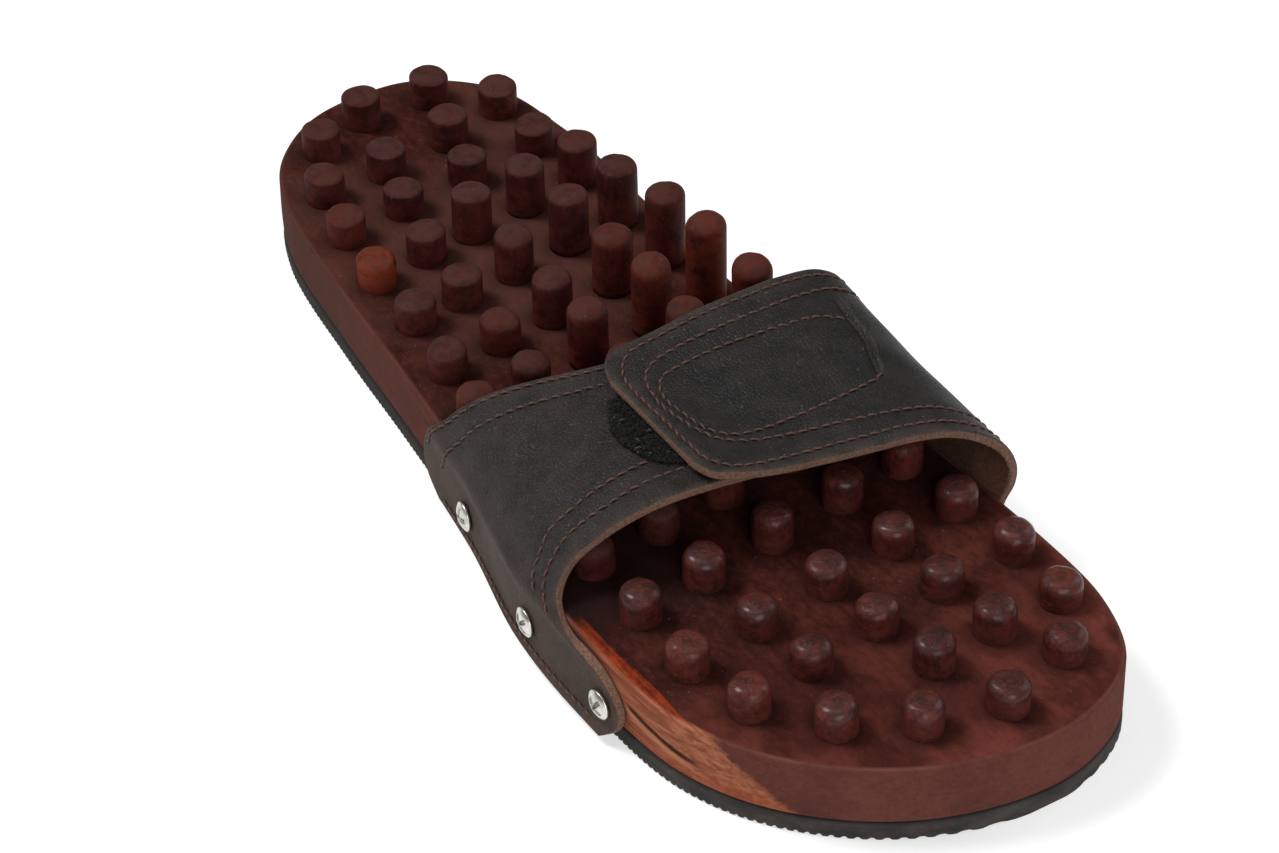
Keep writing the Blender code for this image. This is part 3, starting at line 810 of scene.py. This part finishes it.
def make_board(wood):
    """Board as closed rings round its outline, stacked from the foot up the side, over the rounded edge
    and inwards over the top to a line along the middle.
    """
    outline = evenly(FINE_OUTLINE, BOARD_RIM_COUNT, closed=True)
    tangent = np.roll(outline, -1, axis=0) - np.roll(outline, 1, axis=0)
    outward = unit(np.stack((tangent[:, 1], -tangent[:, 0]), axis=1))
    spine_along = np.clip(outline[:, 1], -SPINE_REACH, SPINE_REACH)
    spine_across = (board_side(spine_along, 1) + board_side(spine_along, -1)) / 2
    spine = np.stack((spine_across, spine_along), axis=1)
    turn = full_turn(BOARD_RIM_COUNT)
    radius = EDGE_RADIUS * (1 + ripple((0.18, 9 * turn), (0.14, 23 * turn + 1)))
    bow = ripple((0.10, 17 * turn), (0.07, 41 * turn + 2))
    rings, rims = [], []

    def add_ring(inset, up):
        inset = np.broadcast_to(inset, turn.shape)
        place = outline - outward * inset[:, None]
        rings.append(np.column_stack((place, np.broadcast_to(up, turn.shape))))
        rims.append(inset)

    add_ring(FOOT_BEVEL, BOARD_FOOT)
    add_ring(FOOT_STEP, BOARD_FOOT + FOOT_STEP)
    side_foot = BOARD_FOOT + FOOT_BEVEL
    for level in SIDE_LEVELS:
        add_ring(-bow * np.sin(level * np.pi), side_foot + level * (BOARD_TOP - radius - side_foot))
    for bend in EDGE_BENDS:
        add_ring(radius * (1 - np.cos(bend)), BOARD_TOP - radius * (1 - np.sin(bend)))
    edge = rings[-1][:, :2]
    for share in np.linspace(0, TOP_REACH, BOARD_TOP_RINGS + 1)[1:]:
        place = edge + (spine - edge) * share
        across, along = place.T
        hollow = ripple((0.05, across / 6), (0.05, along / 9 + 1), (0.04, along / 4))
        rings.append(np.column_stack((place, BOARD_TOP + hollow * min(1, 4 * share))))
        rims.append(radius + np.linalg.norm(place - edge, axis=1))
    points = np.vstack(rings)
    places = peg_places()
    pegs = np.column_stack((places[:, 2:4], np.full(len(places), BOARD_TOP)))
    near = np.exp(-np.clip(nearest_distance(points, pegs) - PEG_RADIUS, 0, None) / PEG_GRIME_AND_SHADE_REACH)
    faces = tube_faces(1, len(rings), BOARD_RIM_COUNT)
    values = {"rim": np.concatenate(rims), "near": near}
    return add_piece("board", points, faces, wood, ("footbed",), values)


# Pegs

PEG_SIDES = 36
PEG_SIDE_RINGS = 9
PEG_SUNK = -0.6
CHIP_DEPTH = 0.6
CROWN_SHARES = (0.9, 0.74, 0.58, 0.46, 0.37, 0.29, 0.2, 0.07)
PegShape = namedtuple("PegShape", ("edge", "crown", "domed", "groove"))
ARCH_PEG = PegShape(1.15, 0.45, 1, 0)
TOE_PEG = PegShape(2.5, 0.6, 0, 0.09)
# Rows over which the peg ends grow from nearly flat to domed, and how much a dome adds to the edge
DOME_ROWS = (3, 8)
DOME_EDGE = 2.3
# Pegs of paler, orange wood by row and column, with how orange each is, and pegs with greyer ends
# In rows 7 and 8, by the strap, the paler wood is partly painted light
WARM_AND_LIT_PEGS = {
    (4, 5): 0.9, (3, 4): 0.3, (6, 4): 0.25, (7, 1): 0.5, (7, 2): 0.45, (7, 3): 0.3, (8, 1): 0.4, (8, 2): 0.4,
    (8, 3): 0.4, (6, 2): 0.25, (6, 1): 0.2, (7, 5): 0.3, (13, 5): 0.25, (14, 1): 0.3, (12, 5): 0.2,
}
GREY_PEGS = ((2, 3), (4, 2), (4, 3), (5, 3), (5, 5), (7, 3), (15, 2), (14, 3), (13, 4))


def peg_places():
    """Row, column, across, along and height of every peg."""
    places = []
    for number, row in enumerate(PEG_ROWS, start=1):
        for column, (across, height) in enumerate(row.pegs, start=1):
            along = row.along + row.slant * across + row.bow * (across / ROW_BOW_SPAN) ** 2
            places.append((number, column, across, along, height))
    return np.array(places)


# Bends of the rings round a peg's edge, and the bends in degrees between which its end's dust sets in
PEG_BENDS = np.radians(np.linspace(0, 90, 7))[1:]
DUST_BENDS = (12, 44)
# Turned ring and pith on a toe peg's end, as shares of its radius
RING_SHARE = 0.37
RING_GROOVE = 0.09
RING_MARK = 0.1
PITH_MARK = 0.12
SEAT_REACH = 1.6


def make_pegs(name, places, shape, wood, nodes, seed):
    """Turned pegs, all in one mesh: rings up from just under the board, round the edge and over the crown.

    A ring's radius and height come from the peg's own height; each peg leans and is cut off a little
    differently.
    """
    chance = np.random.default_rng(seed)
    count = len(places)
    height = places[:, 4][:, None]
    radius = PEG_RADIUS * (1 - 0.025 * chance.random((count, 1)))
    dome = shape.domed * np.interp(places[:, 0], DOME_ROWS, (0, 1))[:, None]
    edge = (shape.edge + DOME_EDGE * dome) * chance.uniform(0.85, 1.2, (count, 1))
    flat = radius - edge
    crown = shape.crown * flat / PEG_RADIUS
    shoulder = height - crown - edge
    edge_in = edge * (1 - np.cos(PEG_BENDS))
    end = np.array(CROWN_SHARES)

    def stacked(*blocks):
        """Ring values of the side, the rounded edge and the end, one after another."""
        rings = (PEG_SIDE_RINGS, len(PEG_BENDS), len(end))
        return np.concatenate([np.broadcast_to(block, (count, n)) for block, n in zip(blocks, rings)], axis=1)

    ring_up = stacked(
        PEG_SUNK + (shoulder - PEG_SUNK) * np.linspace(0, 1, PEG_SIDE_RINGS),
        shoulder + edge * np.sin(PEG_BENDS),
        height - crown * end ** 2 - shape.groove * hump(end - RING_SHARE, RING_GROOVE),
    )
    ring_radius = stacked(radius, radius - edge_in, flat * end)
    ring_bite = CHIP_DEPTH * stacked(0, edge_in / edge, end)
    on_top = stacked(0, np.interp(np.degrees(PEG_BENDS), DUST_BENDS, (0, 1)), 1)
    ring_mark = hump(end - RING_SHARE, RING_MARK) + 0.5 * hump(end, PITH_MARK)
    pith = stacked(0, 0, ring_mark * shape.groove / TOE_PEG.groove)
    turn = full_turn(PEG_SIDES)
    phase = chance.uniform(0, 6.28, (count, 1, 1))
    oval = 1 + ripple(
        (0.018, 2 * turn + phase), (0.012, 3 * turn + 2.3 * phase), (0.007, 5 * turn + 1.7 * phase))
    bite = ripple(
        (0.20, 3 * turn + 3.1 * phase), (0.16, 7 * turn + 4.7 * phase), (0.12, 11 * turn + 2.9 * phase))
    out = (ring_radius[..., None] - ring_bite[..., None] * bite) * oval
    pith_place = chance.normal(0, 0.4, (2, count, 1)) * (1 - clamp(ring_radius / flat))
    across = out * np.cos(turn) + pith_place[0][..., None]
    along = out * np.sin(turn) + pith_place[1][..., None]
    climb = clamp(ring_up / height)[..., None]
    slant = chance.uniform(-0.07, 0.07, (2, count, 1, 1))
    lean = chance.uniform(-0.012, 0.012, (2, count, 1, 1))
    up = ring_up[..., None] + climb ** 4 * (slant[0] * across + slant[1] * along)
    across = across + places[:, 2][:, None, None] + lean[0] * up
    along = along + places[:, 3][:, None, None] + lean[1] * up
    points = np.stack((across, along, up + BOARD_TOP), axis=-1)
    whole = points.shape[:3]
    tone = chance.uniform(0.15, 0.95, (count, 1, 1))
    labels = [(int(row), int(column)) for row, column in places[:, :2]]
    warm_and_lit = np.array([WARM_AND_LIT_PEGS.get(label, 0) for label in labels])
    grey = np.array([float(label in GREY_PEGS) for label in labels])
    ash = np.maximum(grey, chance.uniform(0, 0.45, count))
    seat = np.exp(-np.clip(ring_up, 0, None) / SEAT_REACH)
    values = (
        tone, warm_and_lit[:, None, None], on_top[..., None], seat[..., None], pith[..., None],
        (1 - climb) ** 0.8, ash[:, None, None],
    )
    values = {key: np.broadcast_to(value, whole) for key, value in zip(PEG_VALUES, values)}
    return add_piece(name, points, tube_faces(*whole), wood, nodes, values)


# Straps

EDGE_STOPS = np.array((
    0, 0.06, 0.2, 0.45, 0.8, 1.2, 1.7, 2.2, 2.6, 3, 3.4, 3.9, 4.5, 5.3, 6.3, 7.2, 7.8, 8.3, 8.8,
    9.4, 10.2, 11.4,
))
STRAP_SPAN_STEPS = 24
STRAP_MIDDLE_COLUMNS = 46
STRAP_ROW_STEP = 0.9
PATH_BATCH = 64
# Steps on the face, in millimetres and as a share of the width, from which its normal is taken
NORMAL_STEP = 0.7
NORMAL_SHARE = 0.012
CUT_ROUND = 0.7
CUT_FLAT = 0.55
SEAM_DEPTH = 0.26
SEAM_WIDTH = 0.55
# Puckered ridge across the flap and the pressed line behind it
RIDGE_ROWS = np.arange(49, 62, 0.22)
RIDGE_HEIGHT = 0.95
RIDGE_WIDTH = 0.55
PUCKER_DEPTH = 0.45
PUCKER_WIDTH = 0.7
PUCKER_BEHIND = 1.2
# Paler line where the strap turns off the board's side and along the flap's ridge: wear and a painted
# highlight
FOLD_UP = 24
FOLD_WIDTH = 1.5
FOLD_WEAR_AND_HIGHLIGHT = 0.35
RIDGE_WEAR_AND_HIGHLIGHT = 0.6
# Width over which the painted shade on the lining deepens away from its edges
LINING_UNSHADED = 15


class Strap:
    """Outer face of a strap, by the reach up from its hem in millimetres and the share of its width."""

    def __init__(self, sections, side):
        self.side = side
        self.rear, self.front = (self.edge_path(sections, edge) for edge in ("rear", "front"))
        self.reach = arc_length((self.rear + self.front) / 2)
        self.length = self.reach[-1]
        station = np.linspace(0, len(sections) - 1, len(self.reach))
        self.hug = np.interp(station, np.arange(len(sections)), [section.hug for section in sections])

    def edge_path(self, sections, edge):
        """Smooth path of the rear or front edge through the sections."""
        corners = []
        for section in sections:
            across, along, up = getattr(section, edge)
            if section.hug == 1:
                off = STRAP_SEAT + STRAP_THICKNESS + across
                across = board_side(along, self.side) + self.side * off
            corners.append((across, along, up))
        return smooth_path(corners, STRAP_SPAN_STEPS, closed=False)

    def edges(self, reach):
        """Points of the rear and the front edge at a reach."""
        return [on_path(reach, self.reach, path) for path in (self.rear, self.front)]

    def width(self, reach):
        """Straight distance between the edges at a reach."""
        rear, front = self.edges(reach)
        return np.linalg.norm(front - rear, axis=-1)

    def face(self, reach, share):
        """Straight line from edge to edge, bent along the board's side where the strap hugs it."""
        reach, share = np.broadcast_arrays(reach, share)
        rear, front = self.edges(reach)
        point = rear * (1 - share[..., None]) + front * share[..., None]
        rear_side, front_side = (board_side(edge[..., 1], self.side) for edge in (rear, front))
        chord = rear_side * (1 - share) + front_side * share
        hug = np.interp(reach, self.reach, self.hug)
        point[..., 0] += hug * (board_side(point[..., 1], self.side) - chord)
        return point

    def normal(self, reach, share):
        """Unit normal away from the foot, from small steps on the face."""
        above, below = np.minimum(reach + NORMAL_STEP, self.length), np.maximum(reach - NORMAL_STEP, 0)
        ahead, behind = np.minimum(share + NORMAL_SHARE, 1), np.maximum(share - NORMAL_SHARE, 0)
        up = self.face(above, share) - self.face(below, share)
        over = self.face(reach, ahead) - self.face(reach, behind)
        return unit(np.cross(over, up) * self.side)


def bunched(length, middle):
    """Places from 0 to a length, close together near both ends."""
    inside = np.linspace(EDGE_STOPS[-1], length - EDGE_STOPS[-1], middle + 2)[1:-1]
    return np.concatenate((EDGE_STOPS, inside, length - EDGE_STOPS[::-1]))


def nearest_distance(points, path):
    """Distance from each point to the nearest point of a path."""
    flat = points.reshape(-1, 3)
    best = np.full(len(flat), np.inf)
    for start in range(0, len(path), PATH_BATCH):
        gap = np.linalg.norm(flat[:, None] - path[None, start:start + PATH_BATCH], axis=-1)
        best = np.minimum(best, gap.min(axis=1))
    return best.reshape(points.shape[:-1])


def make_strap(name, strap, seams, ridge, dustiness, leather, nodes):
    """Leather strap as two grids, its outer face and its lining, joined round the cut edge.

    The wall thins to the cut edge's flat within the rounding, seams press the outer face in along a bell
    of the distance to their line, and the ridge stands out the same way.
    """
    top_dust, wall_dust = dustiness
    rows = bunched(strap.length, int((strap.length - 2 * EDGE_STOPS[-1]) / STRAP_ROW_STEP))
    if ridge is not None:
        rows = np.union1d(rows, strap.length - RIDGE_ROWS)
    width = strap.width(rows)
    share = np.stack([bunched(w, STRAP_MIDDLE_COLUMNS) / w for w in width])
    reach = np.broadcast_to(rows[:, None], share.shape)
    outer, normal = strap.face(reach, share), strap.normal(reach, share)
    from_side = np.minimum(share, 1 - share) * width[:, None]
    from_edge = np.minimum(from_side, np.minimum(reach, strap.length - reach))
    short = clamp(1 - from_edge / CUT_ROUND)
    half = STRAP_THICKNESS / 2 * (CUT_FLAT + (1 - CUT_FLAT) * np.sqrt(1 - short ** 2))
    middle = outer - normal * (STRAP_THICKNESS / 2)
    press = sum(hump(nearest_distance(outer, seam), SEAM_WIDTH) for seam in seams)
    crest_closeness = np.zeros(share.shape)
    lift = crest_closeness
    if ridge is not None:
        crest, pucker = ridge
        crest_closeness = hump(nearest_distance(outer, crest), RIDGE_WIDTH)
        lift = RIDGE_HEIGHT * crest_closeness - PUCKER_DEPTH * hump(nearest_distance(outer, pucker), PUCKER_WIDTH)
    sag = ripple((0.10, reach / 5 + share * 9), (0.07, reach / 2.9 + share * 21))
    sag = sag * clamp(from_edge / 6)
    top = middle + normal * (half - SEAM_DEPTH * np.minimum(press, 1) + lift + sag)[..., None]
    under = middle - normal * half[..., None]
    faces = sheet_faces(*share.shape)
    if strap.side < 0:
        faces = flipped(faces)
    # Paler along the fold and the ridge's crest: wear and a painted highlight
    fold = FOLD_WEAR_AND_HIGHLIGHT * hump(outer[..., 2] - FOLD_UP, FOLD_WIDTH)
    wear_and_highlight = np.maximum(np.exp(-from_edge / 1.6), np.maximum(fold, RIDGE_WEAR_AND_HIGHLIGHT * crest_closeness))
    on_wall = clamp((FOLD_UP - outer[..., 2]) / 6)
    dust = top_dust + (wall_dust - top_dust) * on_wall + 0.15 * np.exp(-from_edge / 5)
    # Each value over the outer face, then over the lining
    values = (
        (np.zeros(share.shape), np.ones(share.shape)),
        (clamp(0.9 - from_edge / 0.22), clamp(1.25 - from_edge / 0.5)),
        (wear_and_highlight, wear_and_highlight),
        # On the lining this value is painted shade, deeper away from its edges
        (dust, clamp(from_edge / LINING_UNSHADED - 0.2)),
    )
    values = dict(zip(LEATHER_VALUES, values))
    return add_piece(name, (top, under), faces, leather, nodes, values)


# Stitching

STITCH_PITCH = 2.7
STITCH_LENGTH = 2.45
STITCH_RADIUS = 0.33
STITCH_SLANT = 0.16
STITCH_RINGS = np.linspace(-1, 1, 7)
STITCH_SIDES = 6
SEAM_SPAN_STEPS = 30
SEAM_POINTS = 400
# Width in millimetres that a whole share counts for when points are spaced along a seam
SHARE_WIDTH = 50
# Seams as stops of (distance back from the strap's end, inset); an inset below zero is from the front edge
FLAP_SEAMS = (
    (
        (98, 3), (60, 2.4), (33, 2.3), (16, 2.4), (9, 3), (5.2, 4.8), (2.9, 8), (2.3, 15),
        (2.6, -20), (2.9, -11), (3.7, -5), (7, -2.7), (18.5, -2.9), (32, -3.6), (60, -3.6),
        (98, -4),
    ),
    (
        (98, 8.6), (60, 7.5), (44, 7.8), (29, 7.8), (16, 8), (10.2, 9.4), (6.6, 12.6),
        (5, 18), (5, 24), (6.6, -18.5), (9.3, -13.2), (13, -11.2), (22, -9.8), (36, -9.5),
        (50, -8.8), (98, -9),
    ),
    (
        (55, 18.6), (50, 15.8), (40.6, 14.5), (26, 13.3), (14.5, 13.4), (9.8, 14.6), (7.4, 17.6),
        (6.6, 22), (7.6, 28.5), (9.8, -15.8), (13.2, -13.4), (19.4, -13.2), (29.4, -14.8), (40.3, -17),
        (51, -19.8), (53.4, -21.6),
    ),
)
OUTER_SEAMS = (
    ((14, 2.2), (37, 1.9), (53, 1.7), (69.5, 1.7), (81, 1.7), (91, 2.4)),
    ((14, 7.4), (40, 7.5), (56, 8.4), (73.7, 8.6), (84, 10.4), (93, 10.4)),
    (
        (14, -13.6), (43.4, -13.4), (53.7, -13), (64.7, -11.6), (71.3, -11), (75.5, -10),
        (78.5, -11), (82, -13.2),
    ),
    (
        (14, -7.6), (46.2, -7.5), (56.9, -6.7), (67.5, -6.2), (72.3, -5.4), (77, -5.6), (80.5, -6.8),
        (83.5, -9),
    ),
)
# Hem seam: distance over the hem, and the shares of the width between which it runs
HEM_SEAM = 2.4
HEM_SHARES = np.linspace(0.07, 0.93, 200)
# Puckered ridge across the flap at the hook patch's far end, as stops like a seam's
FLAP_RIDGE = ((57.5, 12), (57.2, 16), (56.8, 20.4), (56.4, 26), (54.8, 31.7), (53.4, 36.8))


def seam_line(strap, stops):
    """Reach and share along a smooth line through a seam's stops."""
    back, inset = np.array(stops).T
    reach = strap.length - back
    share = inset / strap.width(reach) + (inset < 0)
    stations = np.column_stack((reach, share * SHARE_WIDTH))
    line = evenly(smooth_path(stations, SEAM_SPAN_STEPS, closed=False), SEAM_POINTS)
    return line[:, 0], line[:, 1] / SHARE_WIDTH


def strap_lines(strap, seams):
    """Reach and share along each seam, and along the hem seam."""
    hem = np.full_like(HEM_SHARES, HEM_SEAM), HEM_SHARES
    return [seam_line(strap, stops) for stops in seams] + [hem]


def make_stitches(name, strap, lines, thread, seed):
    """Short arched stitches along seam lines, in one mesh: each is a tube that dips in at both ends."""
    chance = np.random.default_rng(seed)
    centres, tangents, normals = [], [], []
    for reach, share in lines:
        path = strap.face(reach, share)
        length = arc_length(path)
        count = int(length[-1] / STITCH_PITCH)
        middle = (np.arange(count) + 0.5) * length[-1] / count + chance.normal(0, 0.07, count)
        start, end = (on_path(middle + way * STITCH_LENGTH / 2, length, path) for way in (-1, 1))
        centres.append((start + end) / 2)
        tangents.append(unit(end - start))
        normals.append(strap.normal(*(np.interp(middle, length, line) for line in (reach, share))))
    centre, tangent, normal = (np.vstack(part) for part in (centres, tangents, normals))
    normal = unit(normal - tangent * np.sum(normal * tangent, axis=1)[:, None])
    turn = chance.normal(STITCH_SLANT, 0.07, len(centre))[:, None]
    across = np.cross(tangent, normal)
    tangent, across = tangent + across * turn, across - tangent * turn
    angle = full_turn(STITCH_SIDES)
    thick = STITCH_RADIUS * (1 - 0.45 * STITCH_RINGS ** 4)[:, None]
    arch = -SEAM_DEPTH * 0.6 + 0.30 * (1 - STITCH_RINGS ** 2) - 0.16 * STITCH_RINGS ** 4
    ring = (
        tangent[:, None, None] * (STITCH_RINGS * STITCH_LENGTH / 2)[:, None, None]
        + across[:, None, None] * (thick * np.cos(angle))[..., None]
        + normal[:, None, None] * (arch[:, None] + 0.8 * thick * np.sin(angle))[..., None]
    )
    faces = flipped(tube_faces(len(centre), len(STITCH_RINGS), STITCH_SIDES))
    return add_piece(name, centre[:, None, None] + ring, faces, thread)


# Loop patch

PATCH_SHARE = (0.27, 0.82)
PATCH_END_ACROSS = 25.2
PATCH_END_GAP = 2.5
# Share of the patch's length over which its open end is rounded
PATCH_ROUND = 0.2
PATCH_BASE = 0.35
PATCH_PILE = 0.5
PATCH_GRID = (40, 30)
LOOP_COUNT = 1900
LOOP_RINGS = 6
LOOP_SIDES = 3
LOOP_THREAD = 0.1
LOOP_SIZES = (0.35, 0.85)
LOOP_SINK = 0.25
LOOP_SEED = 5
LINT_SHARE = 0.02


def patch_place(strap, length_share, width_share):
    """Reach and share on the outer strap for a place on the loop patch, which has a rounded end."""
    reaches = np.linspace(0, strap.length, 400)
    start = np.interp(-PATCH_END_ACROSS, -strap.face(reaches, 0.5)[:, 0], reaches)
    reach = start + (strap.length - PATCH_END_GAP - start) * length_share
    low, high = PATCH_SHARE
    round_off = np.sqrt(np.clip(1 - clamp(1 - length_share / PATCH_ROUND) ** 2.2, 0.05, 1))
    return reach, (low + high) / 2 + (high - low) * (width_share - 0.5) * round_off


def make_loop_patch(strap, pile):
    """Patch sheet over the strap's face, with small arched loops standing on its open end."""
    shares = np.meshgrid(*(np.linspace(0, 1, count) for count in PATCH_GRID), indexing="ij")
    place = patch_place(strap, *shares)
    base, normal = strap.face(*place), strap.normal(*place)
    lifts = (PATCH_BASE + PATCH_PILE, PATCH_BASE)
    sheet = np.vstack([(base + normal * lift).reshape(-1, 3) for lift in lifts])
    chance = np.random.default_rng(LOOP_SEED)
    spread = chance.random((2, LOOP_COUNT))
    place = patch_place(strap, spread[0] * 0.36 - 0.006, spread[1] * 1.04 - 0.02)
    foot, up = strap.face(*place), strap.normal(*place)
    lean = chance.normal(size=(LOOP_COUNT, 3))
    along = unit(lean - up * np.sum(lean * up, axis=1)[:, None])
    over = np.cross(along, up)
    bend = np.linspace(-LOOP_SINK, np.pi + LOOP_SINK, LOOP_RINGS)[:, None]
    size = chance.uniform(*LOOP_SIZES, LOOP_COUNT)[:, None, None, None]
    angle = full_turn(LOOP_SIDES)[:, None]
    outward = (along[:, None] * np.cos(bend) + up[:, None] * np.sin(bend))[:, :, None]
    loops = (
        (foot + up * (PATCH_BASE + PATCH_PILE))[:, None, None] + outward * size
        + (outward * np.cos(angle) + over[:, None, None] * np.sin(angle)) * LOOP_THREAD
    )
    fuzz = [block + len(sheet) for block in tube_faces(LOOP_COUNT, LOOP_RINGS, LOOP_SIDES)]
    lint = (chance.random(LOOP_COUNT) < LINT_SHARE) * chance.uniform(0.4, 1, LOOP_COUNT)
    lint = np.concatenate((np.zeros(len(sheet)), np.repeat(lint, LOOP_RINGS * LOOP_SIDES)))
    points = np.vstack((sheet, loops.reshape(-1, 3)))
    faces = sheet_faces(*PATCH_GRID) + fuzz
    return add_piece("loop_pile", points, faces, pile, ("loop_patch",), {"lint": lint})


# Screws

SCREW_RINGS = 26
SCREW_SIDES = 64
SCREW_SEED = 11
HEAD_RIM = 0.5
HEAD_POWER = 2.4
HEAD_UNDERCUT = 0.15
RECESS_ARM = 2.5
RECESS_HALF = 0.52
RECESS_DEPTH = 0.95
# Widths over which the recess rises at its arms' ends and sides
RECESS_END = 0.5
RECESS_WALL = 0.18
STEM_DARKENING = 0.4
RECESS_DARKENING = 0.8


def screw_head():
    """Head and shank in the screw's own frame: rings from the shank's tip out and over the dome.

    The dome falls with a power of the radius, and a cross-shaped recess is pressed in.
    """
    turn = full_turn(SCREW_SIDES)
    radius = np.linspace(1, 0.03, SCREW_RINGS) * SCREW_HEAD_RADIUS
    x, y = radius[:, None] * np.cos(turn), radius[:, None] * np.sin(turn)
    dome = HEAD_RIM + (SCREW_HEAD_HEIGHT - HEAD_RIM) * (1 - (radius / SCREW_HEAD_RADIUS) ** HEAD_POWER)

    def arm(length, half):
        inside = clamp((RECESS_ARM - np.abs(length)) / RECESS_END)
        return inside * clamp((RECESS_HALF - np.abs(half)) / RECESS_WALL + 0.5)

    recess = np.maximum(arm(x, y), arm(y, x))
    seat = STRAP_THICKNESS + 2 * STRAP_SEAT
    head = np.stack((x, y, dome[:, None] - RECESS_DEPTH * recess + seat), axis=-1)
    rim_radius = SCREW_HEAD_RADIUS - HEAD_UNDERCUT
    stem = ((SCREW_SHANK_RADIUS, -SCREW_DEPTH), (SCREW_SHANK_RADIUS, seat), (rim_radius, seat))
    rings = [np.stack((r * np.cos(turn), r * np.sin(turn), np.full_like(turn, h)), axis=-1) for r, h in stem]
    darkening = np.concatenate((np.full((len(stem), SCREW_SIDES), STEM_DARKENING), clamp(recess * RECESS_DARKENING)))
    return np.concatenate((np.array(rings), head)), darkening


def make_screws(nickel):
    """Six screws in one mesh, each turned on its axis and stood on the board's side."""
    shape, darkening = screw_head()
    chance = np.random.default_rng(SCREW_SEED)
    screws = []
    for side_name, side in (("lateral", 1), ("medial", -1)):
        for along in SCREW_ALONG[side_name]:
            slope = board_side(along + 1, side) - board_side(along - 1, side)
            outwards = unit(np.array((side, -side * slope / 2, 0)))
            level = np.cross((0, 0, 1), outwards)
            turn = chance.uniform(0, np.pi / 2)
            first = level * np.cos(turn) + np.array((0, 0, np.sin(turn)))
            axes = np.stack((first, np.cross(outwards, first), outwards))
            place = np.array((board_side(along, side), along, SCREW_UP))
            screws.append(shape.reshape(-1, 3) @ axes + place)
    nodes = [f"screw_{side}_{k}" for side in SCREW_ALONG for k in (1, 2, 3)]
    faces = tube_faces(len(screws), *shape.shape[:2])
    values = {"darkening": np.tile(darkening.ravel(), len(screws))}
    return add_piece("screws", screws, faces, nickel, nodes, values)


# Stage

def aimed(place, aim):
    """World matrix at a place, looking at a point."""
    place = Vector(place)
    turn = (Vector(aim) - place).to_track_quat("-Z", "Y").to_matrix().to_4x4()
    return Matrix.Translation(place) @ turn


def make_camera():
    """Camera at the photograph's place, turned to the slipper and rolled as the photograph is."""
    data = bpy.data.cameras.new("camera")
    data.lens = CAMERA_LENS
    data.sensor_width = CAMERA_SENSOR
    camera = add_object("camera", data)
    roll = Matrix.Rotation(np.radians(CAMERA_ROLL), 4, "Z")
    camera.matrix_world = aimed(shoe_points(CAMERA_PLACE), shoe_points(CAMERA_AIM)) @ roll
    bpy.context.scene.camera = camera


# Lights by name: place in metres, size in metres, watts
LIGHTS = {
    "key": ((-0.78, 0.86, 1.72), 0.85, 34),
    "overhead": ((0.05, -0.25, 1.9), 1.3, 5),
    "front_fill": ((-0.45, -1.7, 0.85), 1.4, 20),
    "side_fill": ((1.5, -0.15, 0.9), 1.2, 8),
}
LIGHT_AIM = (0, 0, 0.03)
WORLD_STRENGTH = 0.08
FLOOR_REACH = 4


def make_stage():
    """Pale floor, soft lights aimed at the slipper and an even pale surround."""
    mesh = bpy.data.meshes.new("floor")
    signs = ((-1, -1), (1, -1), (1, 1), (-1, 1))
    mesh.from_pydata([(x * FLOOR_REACH, y * FLOOR_REACH, 0) for x, y in signs], [], [(0, 1, 2, 3)])
    mesh.materials.append(surface("studio_floor", floor_look))
    floor = add_object("floor", mesh)
    for name, (place, size, watts) in LIGHTS.items():
        data = bpy.data.lights.new(name, "AREA")
        data.shape = "DISK"
        data.size = size
        data.energy = watts
        add_object(name, data).matrix_world = aimed(place, LIGHT_AIM)
    world = bpy.data.worlds.new("surround")
    world.use_nodes = True
    background = world.node_tree.nodes["Background"]
    set_sockets(world.node_tree, background, {"Color": WHITE, "Strength": WORLD_STRENGTH})
    bpy.context.scene.world = world
    bpy.context.scene.view_settings.view_transform = "Standard"


def main():
    """Dress the slipper piece by piece."""
    make_camera()
    make_stage()
    make_outsole(surface("sole_rubber", rubber_look))
    make_board(surface("board_wood", board_look))
    places = peg_places()
    joined = places[:, 0] >= FIRST_JOINED_ROW
    nodes = [f"peg_{int(row):02d}_{int(column)}" for row, column in places[~joined, :2]]
    make_pegs("arch_pegs", places[~joined], ARCH_PEG, surface("arch_peg_wood", peg_look, 0), nodes, 3)
    make_pegs("toe_pegs", places[joined], TOE_PEG, surface("toe_peg_wood", peg_look, 1), ("footbed",), 4)
    leather, thread = surface("strap_leather", leather_look), surface("sewing_thread", thread_look)
    lower = Strap(OUTER_STRAP, 1)
    flap = Strap(INNER_STRAP, -1)
    lower_lines = strap_lines(lower, OUTER_SEAMS)
    flap_lines = strap_lines(flap, FLAP_SEAMS)
    ridge_reach, ridge_share = seam_line(flap, FLAP_RIDGE)
    ridge = flap.face(ridge_reach, ridge_share), flap.face(ridge_reach + PUCKER_BEHIND, ridge_share)
    lower_seams = [lower.face(*line) for line in lower_lines]
    flap_seams = [flap.face(*line) for line in flap_lines]
    make_strap("strap_outer_side", lower, lower_seams, None, (0.14, 0.75), leather, ("strap_lateral",))
    make_strap("strap_inner_side", flap, flap_seams, ridge, (0.06, 0.3), leather, ("strap_medial",))
    make_stitches("stitches_outer_side", lower, lower_lines, thread, 21)
    make_stitches("stitches_inner_side", flap, flap_lines, thread, 22)
    make_loop_patch(lower, surface("loop_pile", pile_look))
    make_screws(surface("screw_nickel", nickel_look))


main()
